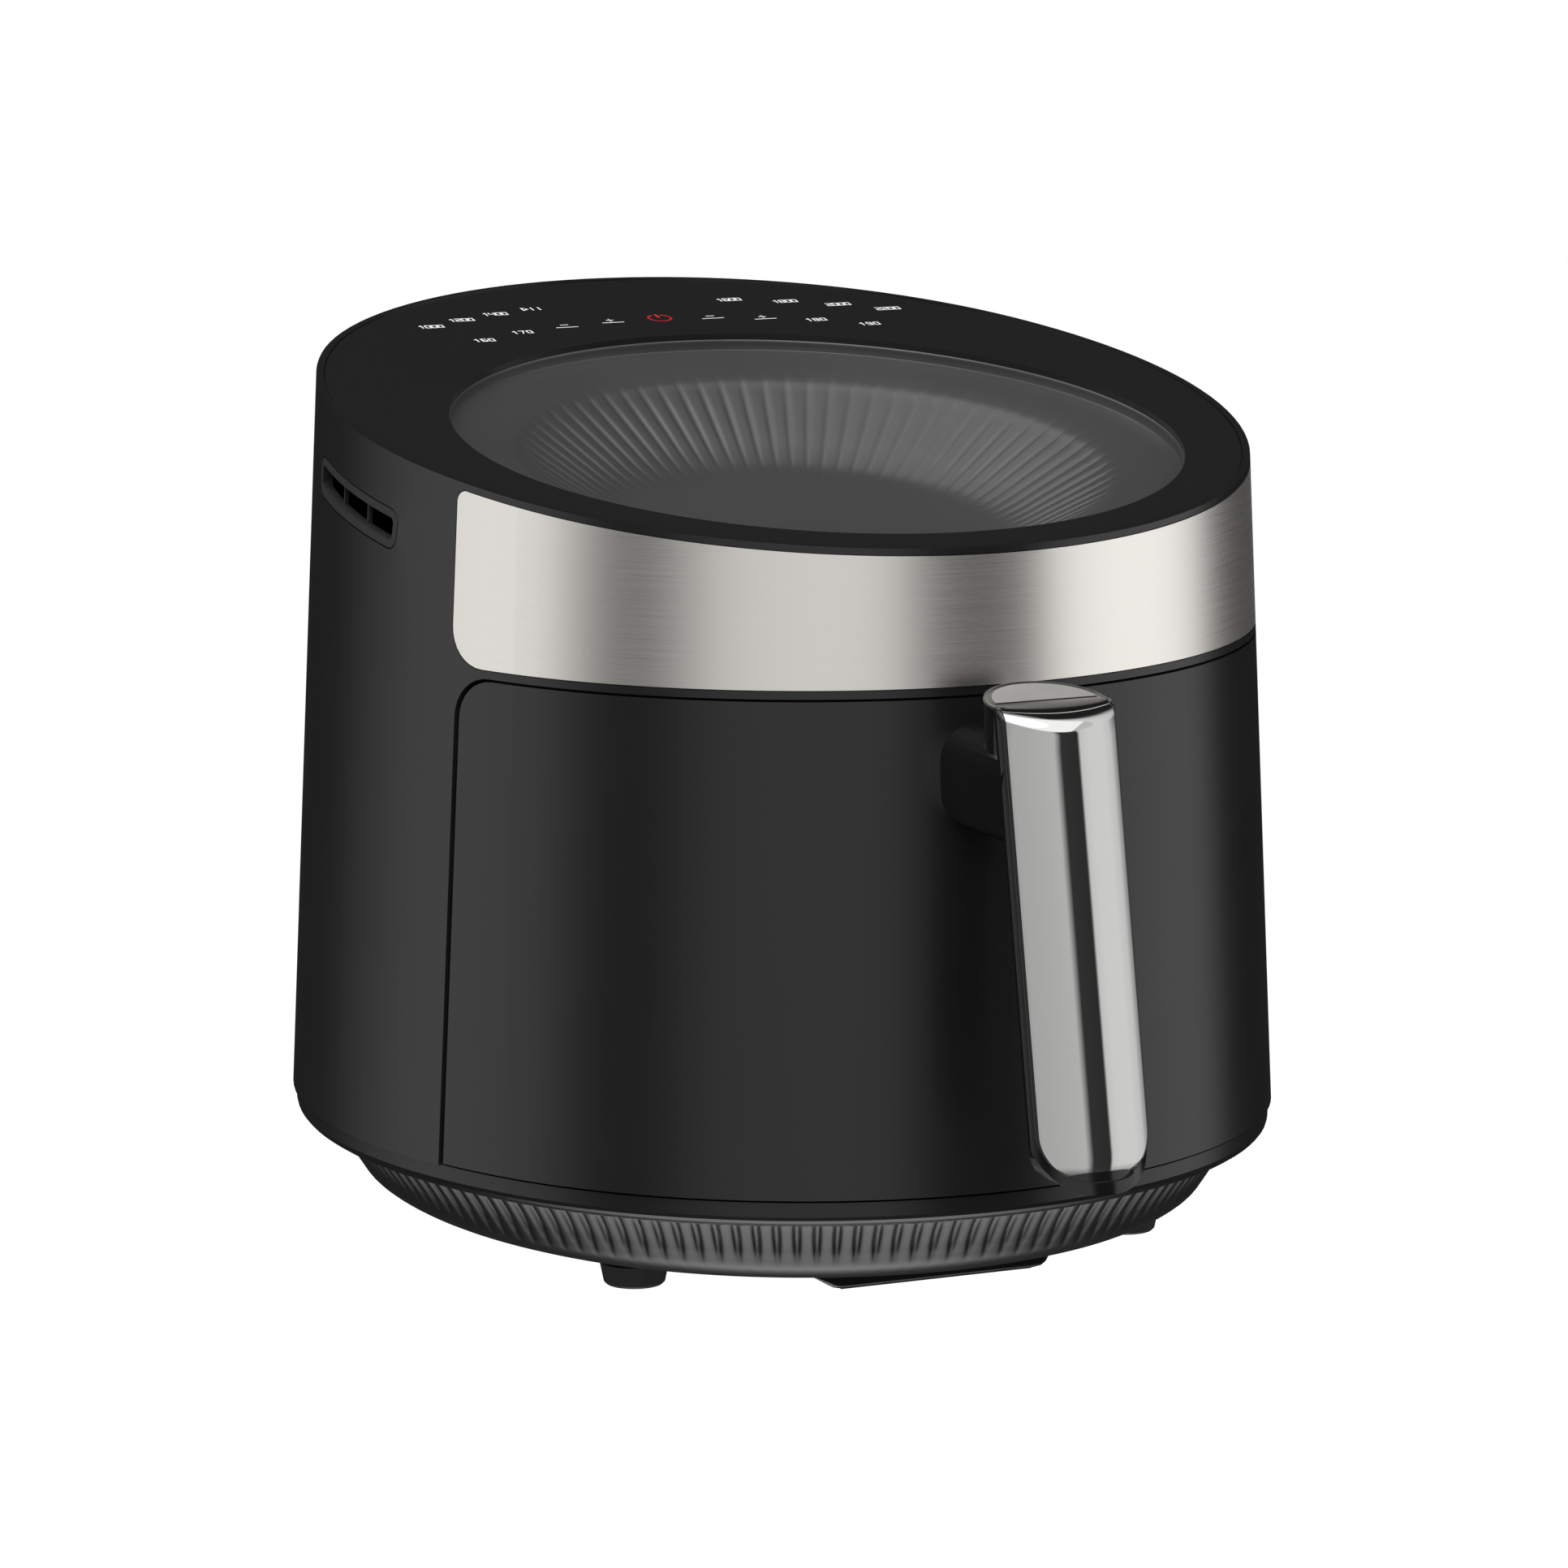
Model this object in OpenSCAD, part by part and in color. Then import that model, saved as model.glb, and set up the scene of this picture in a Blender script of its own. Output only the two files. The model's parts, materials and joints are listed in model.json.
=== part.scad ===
// Air fryer with a rounded oval body, a slanted top that carries a fluted dish,
// a steel front band and a pull-out drawer with an upright handle.
// Millimetres. +Z is up, -Y is the front, and the origin lies on the floor
// under the middle of the body.

/* [Body] */
// Width of the body at its lower seam
body_w = 330; // [300:1:396]
// Depth of the body at its lower seam, without the handle
body_d = 361; // [331:1:395]
// Inward draft of the walls, in millimetres for each millimetre of height
wall_draft = 0.044; // [0:0.002:0.06]
// Thickness of the housing's wall
wall = 2.6; // [2:0.1:3.2]
// Height of the lower seam above the floor
seam_z = 43; // [40:1:55]
// Height of the slanted rim above the floor, on the body's axis
rim_z = 278.5; // [262:0.5:334]
// Slope of the rim, in degrees
rim_tilt = 8.5; // [6:0.5:9.5]
// Distance from the body's axis forward to the sides of the drawer opening
opening_y = 69; // [60:1:76]
// Corner radius at the top of the drawer opening
opening_r = 14; // [6:1:20]

/* [Top] */
// Thickness of the glossy top plate
glass_t = 2; // [1.5:0.1:3]
// Radius of the round opening for the dish
dish_r = 123.6; // [105:0.2:126]
// Distance from the body's axis forward to the dish's centre, along the slope
dish_forward = 32; // [26:1:34]
// Depth of the dish, square to the slope
dish_depth = 34; // [26:1:36]
// Radius of the dish's flat floor
dish_floor_r = 58; // [40:1:66]
// Radius at which the dish's flutes start
dish_flute_r = 101; // [85:1:108]
// Number of flutes round the dish
dish_flutes = 80; // [40:1:96]
// Depth of the dish's flutes
dish_flute_depth = 1.6; // [0.6:0.1:2]
// Thickness of the dish
dish_t = 2.4; // [2:0.1:3]

/* [Steel band] */
// Height of the strip between the drawer opening and the band
strip_h = 2.8; // [2:0.1:6]
// Thickness of the steel band
band_t = 0.6; // [0.4:0.1:1]
// Distance from the rim down to the band, square to the slope
band_drop = 2.4; // [2:0.1:4]
// Lower corner radius of the band
band_r = 13; // [4:1:18]
// Gap between the band's edge and the recess round it
band_gap = 0.35; // [0.1:0.05:0.6]

/* [Base] */
// Number of flutes on each flank of the base
flank_flutes = 27; // [16:1:30]
// Number of flutes round each end of the base
end_flutes = 47; // [30:1:52]
// Depth of the base's flutes
base_flute_depth = 2.4; // [0.8:0.1:2.6]
// Height of the base's underside above the floor
base_z = 8.5; // [7:0.5:10]
// Height of the curved rim under the seam
rim_ring_h = 9.6; // [8:0.2:11]
// Distance between the feet, across
feet_w = 181; // [150:1:186]
// Distance between the feet, front to back
feet_d = 172; // [150:1:180]
// Radius of a rubber foot
foot_r = 11.6; // [9:0.2:12]

/* [Cavity and drawer] */
// Space between the housing's wall and the cavity's liner, at the seam
liner_gap = 24.4; // [23:0.2:27]
// Distance from the body's axis forward to the pan's axis
pan_forward = 10; // [8:1:12]
// Space between the pan and the liner
pan_gap = 8; // [7:0.5:9]
// Height of the pan
pan_h = 124; // [90:1:128]
// Thickness of the pan's metal
pan_t = 1.2; // [1:0.1:1.6]
// Thickness of the liner's sheet metal
sheet_t = 1; // [0.8:0.1:1.4]
// Height of the drawer rails
rail_h = 7; // [5:0.5:8]
// Distance between the drawer rails' middles
rail_span = 132; // [100:1:150]
// Gap round the sides of the drawer front
front_side_gap = 2.2; // [1:0.1:3]
// Gap above and below the drawer front
front_gap = 0.9; // [0.6:0.1:1.2]
// Thickness of the drawer front
front_t = 3; // [2.5:0.1:4]
// Height of the crisper plate above the pan's floor
plate_z = 13; // [10:1:18]
// Distance between the crisper plate's holes
plate_pitch = 20; // [18:1:24]
// Radius of the crisper plate's holes
plate_hole_r = 4; // [3:0.5:5]

/* [Handle] */
// Width of the handle
handle_w = 41.6; // [36:0.2:46]
// Depth of the handle's oval section
handle_d = 24; // [20:0.5:26]
// Height of the handle's lower end above the seam
handle_low = 16; // [10:1:40]
// Distance from the drawer front to the handle's middle, at the neck
handle_reach = 43; // [38:1:50]
// Outward slope of the handle, in degrees
handle_slope = 11.3; // [6:0.1:12]
// Height of the neck
neck_h = 34; // [26:1:36]
// Thickness of the bright trim
trim_t = 1.2; // [0.8:0.1:1.6]

/* [Motor and heater] */
// Height of the space for the motor between the cavity's ceiling and the dish
motor_bay = 30.8; // [29:0.1:34]
// Radius of the motor's core
stator_r = 28; // [26:0.5:30]
// Radius of the motor's rotor
rotor_r = 14.6; // [12:0.1:15]
// Radius of the motor's shaft
shaft_r = 3; // [2.5:0.1:3.5]
// Radius of the hot-air fan
hot_fan_r = 56; // [45:1:58]
// Radius of the cooling fan
cool_fan_r = 56; // [45:1:57]
// Number of blades on each fan
fan_blades = 10; // [6:1:12]
// Radius of the heating element's tube
heater_tube_r = 3.2; // [2.8:0.1:3.6]
// Radius of the heating element's inner turn
heater_r1 = 72; // [68:1:76]
// Radius of the heating element's outer turn
heater_r2 = 98; // [90:1:102]

/* [Openings and cord] */
// Length of the side vents
vent_l = 72; // [56:1:84]
// Height of the side vents
vent_h = 12.8; // [10:0.2:14]
// Width of the rear grille
grille_w = 64; // [40:1:70]
// Bore of the cord gland, for the mains cord
cord_bore_r = 3.6; // [3:0.1:4]

/* [Hidden] */
$fn = 64;

// Running gap between pieces that move past each other
clear = 0.3;
// Larger than any size of the body, for cutting shapes
big = 700;
eps = 0.01;

// Oval plan: flank arcs have centres on X, end arcs have centres on Y, and the wide
// radius of a flank arc exceeds the half width by flank_c. The centres are rounded so
// that the arcs meet exactly.
end_c = round((body_d - body_w) / 1.5 * 10) / 10;
flank_c = end_c * 15 / 8;
end_drop = end_c / 4;
flank_angle = atan(8 / 15);
tan_tilt = tan(rim_tilt);

// Heights, from the slanted top down to the floor
pan_y = -pan_forward;
motor_front_y = pan_y - stator_r - 1;
dish_under_z = rim_z + motor_front_y * tan_tilt - (dish_depth + dish_t) / cos(rim_tilt);
ceiling_top = dish_under_z - motor_bay;
ceiling_t = 1.2;
ceiling_z = ceiling_top - ceiling_t;
opening_top = ceiling_top + 0.7;
band_z = opening_top + strip_h;
floor_t = 1.2;
floor_z = seam_z + floor_t;
pan_z = floor_z + rail_h + clear;

// Cavity and drawer
liner_r = body_w / 2 - wall - liner_gap;
pan_r = liner_r - pan_gap;
pan_rim_r = pan_r + 4;
plate_r = pan_r - pan_t - 4;
backing_r = liner_r + clear;
backing_t = 2.4;
liner_front_y = -opening_y + 3;

function half_w(z) = body_w / 2 - wall_draft * (z - seam_z);
function end_y(z) = end_c + half_w(z) - end_drop;
function rim_at(y) = rim_z + y * tan_tilt;

// Revolves a half-width profile round the oval plan. The plan's two flank arcs and
// two end arcs meet on rays that rise 8 for every 15 across, through both arcs' centres.
module oval_ring() {
    reach = 30;
    for (turn = [0, 180])
        rotate(turn) {
            intersection() {
                translate([-flank_c, 0, 0]) rotate_extrude($fn = 128) translate([flank_c, 0]) children();
                translate([-flank_c, 0, 0]) linear_extrude(height = big)
                    polygon([[0, 0], [15 * reach, 8 * reach], [15 * reach, -8 * reach]]);
            }
            intersection() {
                translate([0, end_c, 0]) rotate_extrude($fn = 128) translate([-end_drop, 0]) children();
                translate([0, end_c, 0]) linear_extrude(height = big)
                    polygon([
                        [0, 0], [15 * reach, 8 * reach], [15 * reach, big],
                        [-15 * reach, big], [-15 * reach, 8 * reach]
                    ]);
            }
        }
}

// A stretch of the drafted wall between two insets from its outer face
module wall_strip(z0, z1, outer, inner) {
    oval_ring() polygon([
        [half_w(z0) - outer, z0], [half_w(z1) - outer, z1],
        [half_w(z1) - inner, z1], [half_w(z0) - inner, z0]
    ]);
}

// Everything outside a given inset of the wall, for trimming what fits inside
module outside_wall(inset) {
    wall_strip(0, rim_z + 80, -60, inset);
}

// Moves its children into the slanted plane of the rim
module on_slope() {
    translate([0, 0, rim_z]) rotate([rim_tilt, 0, 0]) children();
}

// A slab parallel to the rim, between two heights measured from it
module slope_slab(low, high) {
    on_slope() translate([-big / 2, -big / 2, low]) cube([big, big, high - low]);
}

// Moves its children to the dish's centre on the slope
module at_dish() {
    on_slope() translate([0, -dish_forward, 0]) children();
}

// Extrudes a side-view outline, drawn in Y and Z, across the body
module side_prism(length = big) {
    rotate([90, 0, 90]) linear_extrude(height = length, center = true) children();
}

// Extrudes a front-view outline, drawn in X and Z, towards the back
module front_prism(y0, y1) {
    translate([0, y1, 0]) rotate([90, 0, 0]) linear_extrude(height = y1 - y0) children();
}

function arc_points(c, r, from, to, steps = 8) = [
    for (i = [0:steps])
        let (a = from + (to - from) * i / steps)
            [c[0] + r * cos(a), c[1] + r * sin(a)]
];

// Side view of the drawer opening, or of the drawer front with its gaps
module opening_outline(side_gap, low_gap, high_gap, r) {
    edge = -opening_y - side_gap;
    low = seam_z + low_gap;
    high = opening_top - high_gap;
    polygon(concat(
        [[-big, low], [edge, low]],
        arc_points([edge - r, high - r], r, 0, 90),
        [[-big, high]]
    ));
}

// Side view of the steel band, with a round lower and a small upper corner
module band_outline(gap) {
    edge = -opening_y + 2 - gap;
    low = band_z + gap;
    r = band_r - gap;
    top_r = 3.5 - gap;
    drop = (band_drop + gap) / cos(rim_tilt);
    top_y = edge - top_r;
    polygon(concat(
        [[-big, low]],
        arc_points([edge - r, low + r], r, -90, 0),
        arc_points([top_y, rim_at(top_y) - drop - top_r / cos(rim_tilt)], top_r, 0, 90 + rim_tilt),
        [[-big, rim_at(-big) - drop]]
    ));
}

// Screw along Z with its head at the bottom
module screw(r, length, head_r, head_h) {
    cylinder(r = head_r, h = head_h, $fn = 24);
    translate([0, 0, head_h - eps]) cylinder(r = r, h = length + eps, $fn = 24);
}

// ---------------------------------------------------------------- housing

vent_drop = 25;
vent_edge = 2.6;
vent_depth = 3.6;
ledge_w = 6;
ledge_t = 2;
frame_t = 3;
glass_drop = 0.3;
frame_top = -glass_drop - glass_t;
ledge_top = frame_top - frame_t;

// Rounded slot seen from the side, parallel to the rim, grown or shrunk all round
module vent_outline(grow) {
    l = vent_l + 2 * grow;
    h = vent_h + 2 * grow;
    r = 4.6 + grow;
    translate([0, rim_z - vent_drop]) rotate(rim_tilt) {
        square([l - 2 * r, h], center = true);
        square([l, h - 2 * r], center = true);
        for (x = [-1, 1], y = [-1, 1])
            translate([x * (l / 2 - r), y * (h / 2 - r)]) circle(r = r, $fn = 32);
    }
}

module vent_prism(side, grow) {
    translate([side * big / 4, 0, 0]) side_prism(big / 2) vent_outline(grow);
}

grille_h = 24;
grille_z = ceiling_z - 2 - grille_h;
gland_z = seam_z + 17;
gland_r = 8;

module housing_shell() {
    color([0.11, 0.11, 0.11])
        difference() {
            intersection() {
                union() {
                    wall_strip(seam_z, rim_z + 40, 0, wall);
                    intersection() {
                        wall_strip(seam_z, rim_z + 40, wall - 0.5, wall + ledge_w);
                        slope_slab(ledge_top - ledge_t, ledge_top);
                    }
                }
                slope_slab(-big, 0);
            }
            side_prism() opening_outline(0, -5, 0, opening_r);
            intersection() {
                wall_strip(seam_z, rim_z + 40, -5, band_t + 0.05);
                side_prism() band_outline(-band_gap);
            }
            for (side = [-1, 1]) vent_prism(side, 0.1 - vent_edge / 2);
            for (side = [-1, 1])
                intersection() {
                    vent_prism(side, 0.5);
                    wall_strip(seam_z, rim_z + 40, -5, 1.25);
                }
            translate([-grille_w / 2, 0, grille_z]) cube([grille_w, body_d, grille_h]);
            translate([0, body_d / 2 - 40, gland_z]) rotate([-90, 0, 0])
                cylinder(r = gland_r - 2 + 0.1, h = 80, $fn = 48);
        }
}

module steel_band() {
    color([0.78, 0.77, 0.75])
        intersection() {
            wall_strip(seam_z, rim_z + 40, 0, band_t);
            side_prism() band_outline(0);
        }
}

// Framed vent seated in a groove in the wall, with a sleeve that carries upright posts
module side_vent(side) {
    cells = 3;
    pitch = (vent_l - 2 * vent_edge) / cells;
    color([0.08, 0.08, 0.08]) {
        intersection() {
            wall_strip(seam_z, rim_z + 40, 0, 1.2);
            difference() {
                vent_prism(side, 0);
                vent_prism(side, -vent_edge);
            }
        }
        intersection() {
            wall_strip(seam_z, rim_z + 40, 1.1, vent_depth);
            difference() {
                vent_prism(side, -vent_edge / 2);
                vent_prism(side, -vent_edge);
            }
        }
        intersection() {
            wall_strip(seam_z, rim_z + 40, vent_depth - 1.4, vent_depth);
            vent_prism(side, -vent_edge + eps);
            for (i = [1:cells - 1])
                translate([-big / 2, (i - cells / 2) * pitch - 0.5, rim_z / 2])
                    cube([big, 1, rim_z / 2]);
        }
    }
}

module side_vent_left() {
    side_vent(-1);
}

module side_vent_right() {
    side_vent(1);
}

// Patch of the rear wall with level louvre slots
module exhaust_grille() {
    slots = 5;
    pitch = (grille_h - 3) / slots;
    color([0.09, 0.09, 0.09])
        difference() {
            intersection() {
                wall_strip(seam_z, rim_z, 0.2, wall);
                translate([-grille_w / 2 + 0.1, 0, grille_z + 0.1])
                    cube([grille_w - 0.2, body_d, grille_h - 0.2]);
            }
            for (i = [0:slots - 1], half = [-1, 1])
                translate([half * grille_w / 4 - grille_w / 4 + 2.5, 0, grille_z + 2.4 + i * pitch])
                    cube([grille_w / 2 - 5, body_d, pitch - 1.8]);
        }
}

module exhaust_duct() {
    duct_t = 1.6;
    color([0.35, 0.35, 0.36])
        difference() {
            translate([-grille_w / 2, 60, grille_z]) cube([grille_w, body_d / 2 - 60, grille_h]);
            translate([-grille_w / 2 + duct_t, 50, grille_z + duct_t])
                cube([grille_w - 2 * duct_t, body_d / 2 + 20, grille_h - 2 * duct_t]);
            translate([0, pan_y, 0]) cylinder(r = liner_r + sheet_t, h = rim_z, $fn = 128);
            outside_wall(wall + 0.1);
        }
}

// Flanged bush with a bore for the mains cord, standing out of the rear wall
module cord_gland() {
    wall_y = end_y(gland_z);
    seat = wall_draft * gland_r + 0.1;
    color([0.07, 0.07, 0.07])
        translate([0, wall_y, gland_z]) rotate([-90, 0, 0])
            difference() {
                union() {
                    translate([0, 0, seat]) cylinder(r = gland_r, h = 4 - seat, $fn = 48);
                    translate([0, 0, -wall - 5]) cylinder(r = gland_r - 2, h = wall + 6, $fn = 48);
                    translate([0, 0, -wall - 7]) cylinder(r = gland_r - 0.4, h = 5.5, $fn = 48);
                    translate([0, 0, 3]) cylinder(r1 = 6.6, r2 = 5.4, h = 9, $fn = 48);
                }
                translate([0, 0, -20]) cylinder(r = cord_bore_r, h = 40, $fn = 48);
            }
}

// ---------------------------------------------------------------- slanted top

inside = wall + 0.25;
flange_t = 1.6;
flange_r = dish_r + 5.4;

module control_glass() {
    color([0.03, 0.03, 0.03])
        difference() {
            intersection() {
                wall_strip(seam_z, rim_z + 60, inside, body_w / 2 - 60);
                slope_slab(-glass_drop - glass_t, -glass_drop);
            }
            at_dish() translate([0, 0, -20]) cylinder(r = dish_r, h = 40, $fn = 128);
        }
}

// Touch keys lie on two arcs round the dish, with the display between them
key_r1 = dish_r + 21.4;
key_r2 = dish_r + 45.4;
inner_keys = [for (i = [-4:4]) [key_r1, i * 7.4]];
outer_keys = [for (side = [-1, 1], i = [0:3]) [key_r2, side * (12.4 + i * 6.4)]];
keys = concat(inner_keys, outer_keys);
board_drop = 15;
board_t = 1.6;
board_w = 190;
board_d = 56;
board_mid_y = key_r1 - dish_forward;
board_post_x = 60;
board_post_y = board_d / 2 - 4;
display_w = 58;
display_d = 20;
display_y = key_r2 - dish_forward - 9;

module at_keys() {
    for (k = keys)
        translate([k[0] * sin(k[1]), k[0] * cos(k[1]) - dish_forward, 0]) children();
}

module top_frame() {
    color([0.13, 0.13, 0.13]) {
        difference() {
            intersection() {
                wall_strip(seam_z, rim_z + 60, inside, body_w / 2 - 60);
                slope_slab(ledge_top, frame_top);
            }
            at_dish() translate([0, 0, -40]) cylinder(r = dish_r + dish_t - 0.2, h = 80, $fn = 128);
            at_dish() translate([0, 0, frame_top - flange_t]) cylinder(r = flange_r + clear, h = 20, $fn = 128);
            on_slope() at_keys() translate([0, 0, -20]) cylinder(r = 4, h = 30, $fn = 20);
            on_slope() translate([0, display_y, -10])
                cube([display_w + 1, display_d + 1, 30], center = true);
        }
        on_slope()
            for (x = [-1, 1], y = [-1, 1])
                translate([x * board_post_x, board_mid_y + y * board_post_y, -board_drop])
                    cylinder(r = 3, h = board_drop + ledge_top + eps, $fn = 24);
    }
}

// Dish profile: radius, depth below the rim, and share of the flutes' depth
dish_rows = [
    [flange_r, -frame_top, 0],
    [dish_r - 0.4, -frame_top, 0],
    [dish_r - 0.6, 5.6, 0],
    [(dish_r + dish_flute_r) / 2 + 3, 7.2, 0],
    [dish_flute_r, 11, 0.15],
    [(dish_flute_r + dish_floor_r) / 2 + 6, dish_depth * 0.62, 1],
    [dish_floor_r + 9, dish_depth - 1.6, 0.1],
    [dish_floor_r - 4, dish_depth, 0]
];
dish_under_rows = [
    [dish_floor_r - 3, dish_depth + dish_t, 0],
    [dish_floor_r + 9, dish_depth + dish_t, 0],
    [dish_flute_r + 1, 13.5 + dish_flute_depth, 0],
    [dish_r + dish_t - 0.8, 8.4, 0],
    [dish_r + dish_t - 0.8, -frame_top + flange_t, 0],
    [flange_r, -frame_top + flange_t, 0]
];

// Triangles between each ring of points and the next
function band_faces(n, rings) = [
    for (k = [0:rings - 2], i = [0:n - 1])
        let (a = k * n + i, b = k * n + (i + 1) % n)
            each [[a, a + n, b + n], [a, b + n, b]]
];

// A flute has one groove point between two points on its reeds
function groove(i) = i % 3 == 0 ? 1 : 0;

module dish() {
    n = 3 * dish_flutes;
    rows = concat(dish_rows, dish_under_rows);
    rings = [for (row = rows, i = [0:n - 1])
        let (a = 360 * i / n, sunk = groove(i) * row[2] * dish_flute_depth)
            [row[0] * cos(a), row[0] * sin(a), -row[1] - sunk]];
    top_centre = len(rings);
    floor_ring = (len(dish_rows) - 1) * n;
    last = len(rows) - 1;
    upper = band_faces(n, len(dish_rows));
    lower = [for (f = band_faces(n, len(dish_under_rows))) [for (v = f) v + floor_ring + n]];
    caps = [for (i = [0:n - 1])
        let (j = (i + 1) % n)
            each [
                [floor_ring + i, top_centre, floor_ring + j],
                [floor_ring + n + j, top_centre + 1, floor_ring + n + i],
                [last * n + i, i, j],
                [last * n + i, j, last * n + j]
            ]];
    centres = [[0, 0, -dish_depth], [0, 0, -dish_depth - dish_t]];
    color([0.30, 0.30, 0.30])
        at_dish() polyhedron(points = concat(rings, centres), faces = concat(upper, lower, caps));
}

// Circuit board that follows the wall, with two plugs on its underside
module control_board() {
    plug_z = -board_drop - board_t;
    color([0.05, 0.25, 0.12]) {
        difference() {
            on_slope() translate([0, board_mid_y, -board_drop - board_t / 2])
                cube([board_w, board_d, board_t], center = true);
            on_slope()
                for (x = [-1, 1], y = [-1, 1])
                    translate([x * board_post_x, board_mid_y + y * board_post_y, -board_drop - 5])
                        cylinder(r = 1.5, h = 10, $fn = 20);
            outside_wall(wall + ledge_w + 3);
        }
        on_slope() {
            translate([-20, board_mid_y - 4, plug_z - 2]) cube([14, 10, 2 + eps]);
            translate([20, board_mid_y - 6, plug_z - 4]) cube([22, 8, 4 + eps]);
        }
    }
}

module display_module() {
    color([0.06, 0.06, 0.07])
        on_slope() translate([0, display_y, 0])
            translate([-display_w / 2, -display_d / 2, -board_drop])
                cube([display_w, display_d, board_drop + frame_top - 0.2]);
}

// Key springs that reach from the board to the glass
module touch_springs() {
    color([0.75, 0.70, 0.45])
        on_slope()
            at_keys() {
                translate([0, 0, -board_drop]) cylinder(r = 2.2, h = board_drop + frame_top - 0.6, $fn = 16);
                translate([0, 0, frame_top - 0.8]) cylinder(r = 3.4, h = 0.7, $fn = 16);
            }
}

// Flat cable on the back of the power board, up to the control board
module ribbon_cable() {
    low = power_z + power_h - 12;
    top = rim_at(cable_y) - (board_drop + board_t) / cos(rim_tilt);
    color([0.6, 0.6, 0.62])
        translate([cable_x - cable_w / 2, cable_y, low]) cube([cable_w, cable_t, top - low]);
}

// ---------------------------------------------------------------- cavity

deck_t = 2.4;
deck_z = ceiling_top;
deck_hole_r = liner_r - 8;

module mid_deck() {
    color([0.16, 0.16, 0.16])
        difference() {
            wall_flat(deck_z, deck_t, inside);
            translate([0, pan_y, deck_z - 5]) cylinder(r = deck_hole_r, h = 20, $fn = 128);
            translate([cable_x - cable_w / 2 - 1, cable_y - 1, deck_z - 5])
                cube([cable_w + 2, cable_t + 2, 20]);
        }
}

// Flat oval plate inside the wall, open in the middle
module wall_flat(z, t, inset) {
    oval_ring() polygon([
        [60, z], [half_w(z) - inset, z], [half_w(z + t) - inset, z + t], [60, z + t]
    ]);
}

// Plan of the cavity: a round back and straight sides up to the opening
module cavity_plan(r) {
    intersection() {
        union() {
            translate([0, pan_y]) circle(r = r, $fn = 128);
            translate([-r, liner_front_y]) square([2 * r, pan_y - liner_front_y]);
        }
        translate([-big, liner_front_y]) square([2 * big, big]);
    }
}

module cavity_liner() {
    h = ceiling_z - floor_z;
    flange_z = floor_z + 0.5;
    color([0.52, 0.52, 0.52]) {
        difference() {
            translate([0, 0, floor_z]) linear_extrude(height = h) cavity_plan(liner_r + sheet_t);
            translate([0, -eps, floor_z - 1]) linear_extrude(height = h + 2) cavity_plan(liner_r);
            translate([-liner_r, liner_front_y - 5, floor_z - 1]) cube([2 * liner_r, 10, h + 2]);
            translate([-grille_w / 2 + 3, 60, grille_z + 3])
                cube([grille_w - 6, body_d / 2, grille_h - 6]);
            translate([0, 0, plunger_z]) rotate([-90, 0, 0]) cylinder(r = 4, h = body_d, $fn = 32);
        }
        for (side = [-1, 1])
            difference() {
                translate([side * (liner_r + 8) - 8, liner_front_y, flange_z])
                    cube([16, sheet_t, h - 1]);
                translate([side * liner_r / 2 - liner_r / 2, liner_front_y - 5, 0])
                    cube([liner_r, 20, rim_z]);
                outside_wall(inside);
            }
    }
}

module cavity_floor() {
    color([0.50, 0.50, 0.50])
        translate([0, pan_y, seam_z]) cylinder(r = liner_r + sheet_t, h = floor_t, $fn = 128);
}

module drawer_rails() {
    rail_w = 9;
    front = pan_y - sqrt(pow(liner_r - 8, 2) - pow(rail_span / 2 + rail_w, 2));
    back = pan_y + sqrt(pow(liner_r - 8, 2) - pow(rail_span / 2 + rail_w, 2));
    color([0.62, 0.62, 0.62])
        for (side = [-1, 1])
            translate([side * rail_span / 2, 0, floor_z])
                difference() {
                    translate([-rail_w / 2, front, 0]) cube([rail_w, back - front, rail_h]);
                    translate([-rail_w / 2 + 1.5, front - 5, -1])
                        cube([rail_w - 3, back - front + 10, rail_h - 0.5]);
                }
}

// Clips, probe and leads pass the ceiling here: radius and angle round the pan's axis
clip_angles = [30, 150, 270];
probe_r = (heater_r2 + liner_r) / 2 - 4;
probe_angle = 135;
shaft_hole_r = 7;
// The heating element's two leads rise side by side, lead_gap off the middle
lead_gap = 9;
inner_lead_y = sqrt(pow(heater_r1, 2) - pow(lead_gap, 2));
outer_lead_y = sqrt(pow(heater_r2, 2) - pow(lead_gap, 2));

module at_pan_axis() {
    translate([0, pan_y, 0]) children();
}

module ceiling_plate() {
    color([0.55, 0.55, 0.55])
        at_pan_axis()
            difference() {
                translate([0, 0, ceiling_z]) cylinder(r = liner_r + sheet_t, h = ceiling_t, $fn = 128);
                translate([0, 0, ceiling_z - 5]) cylinder(r = shaft_hole_r, h = 20, $fn = 48);
                for (y = [inner_lead_y, outer_lead_y])
                    translate([lead_gap, y, ceiling_z - 5]) cylinder(r = heater_tube_r + 0.4, h = 20, $fn = 32);
                rotate(probe_angle) translate([probe_r, 0, ceiling_z - 5])
                    cylinder(r = 2.5, h = 20, $fn = 32);
            }
}

heater_z = ceiling_z - 12;

module ring_tube(r, tube) {
    rotate_extrude($fn = 96) translate([r, 0]) circle(r = tube, $fn = 16);
}

// Open turn of tube in the element's plane, with its gap on the +Y side
module heater_turn(r) {
    half_gap = asin(lead_gap / r);
    rotate_extrude(angle = 360 - 2 * half_gap, start = 90 + half_gap, $fn = 96)
        translate([r, 0]) circle(r = heater_tube_r, $fn = 16);
}

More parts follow.
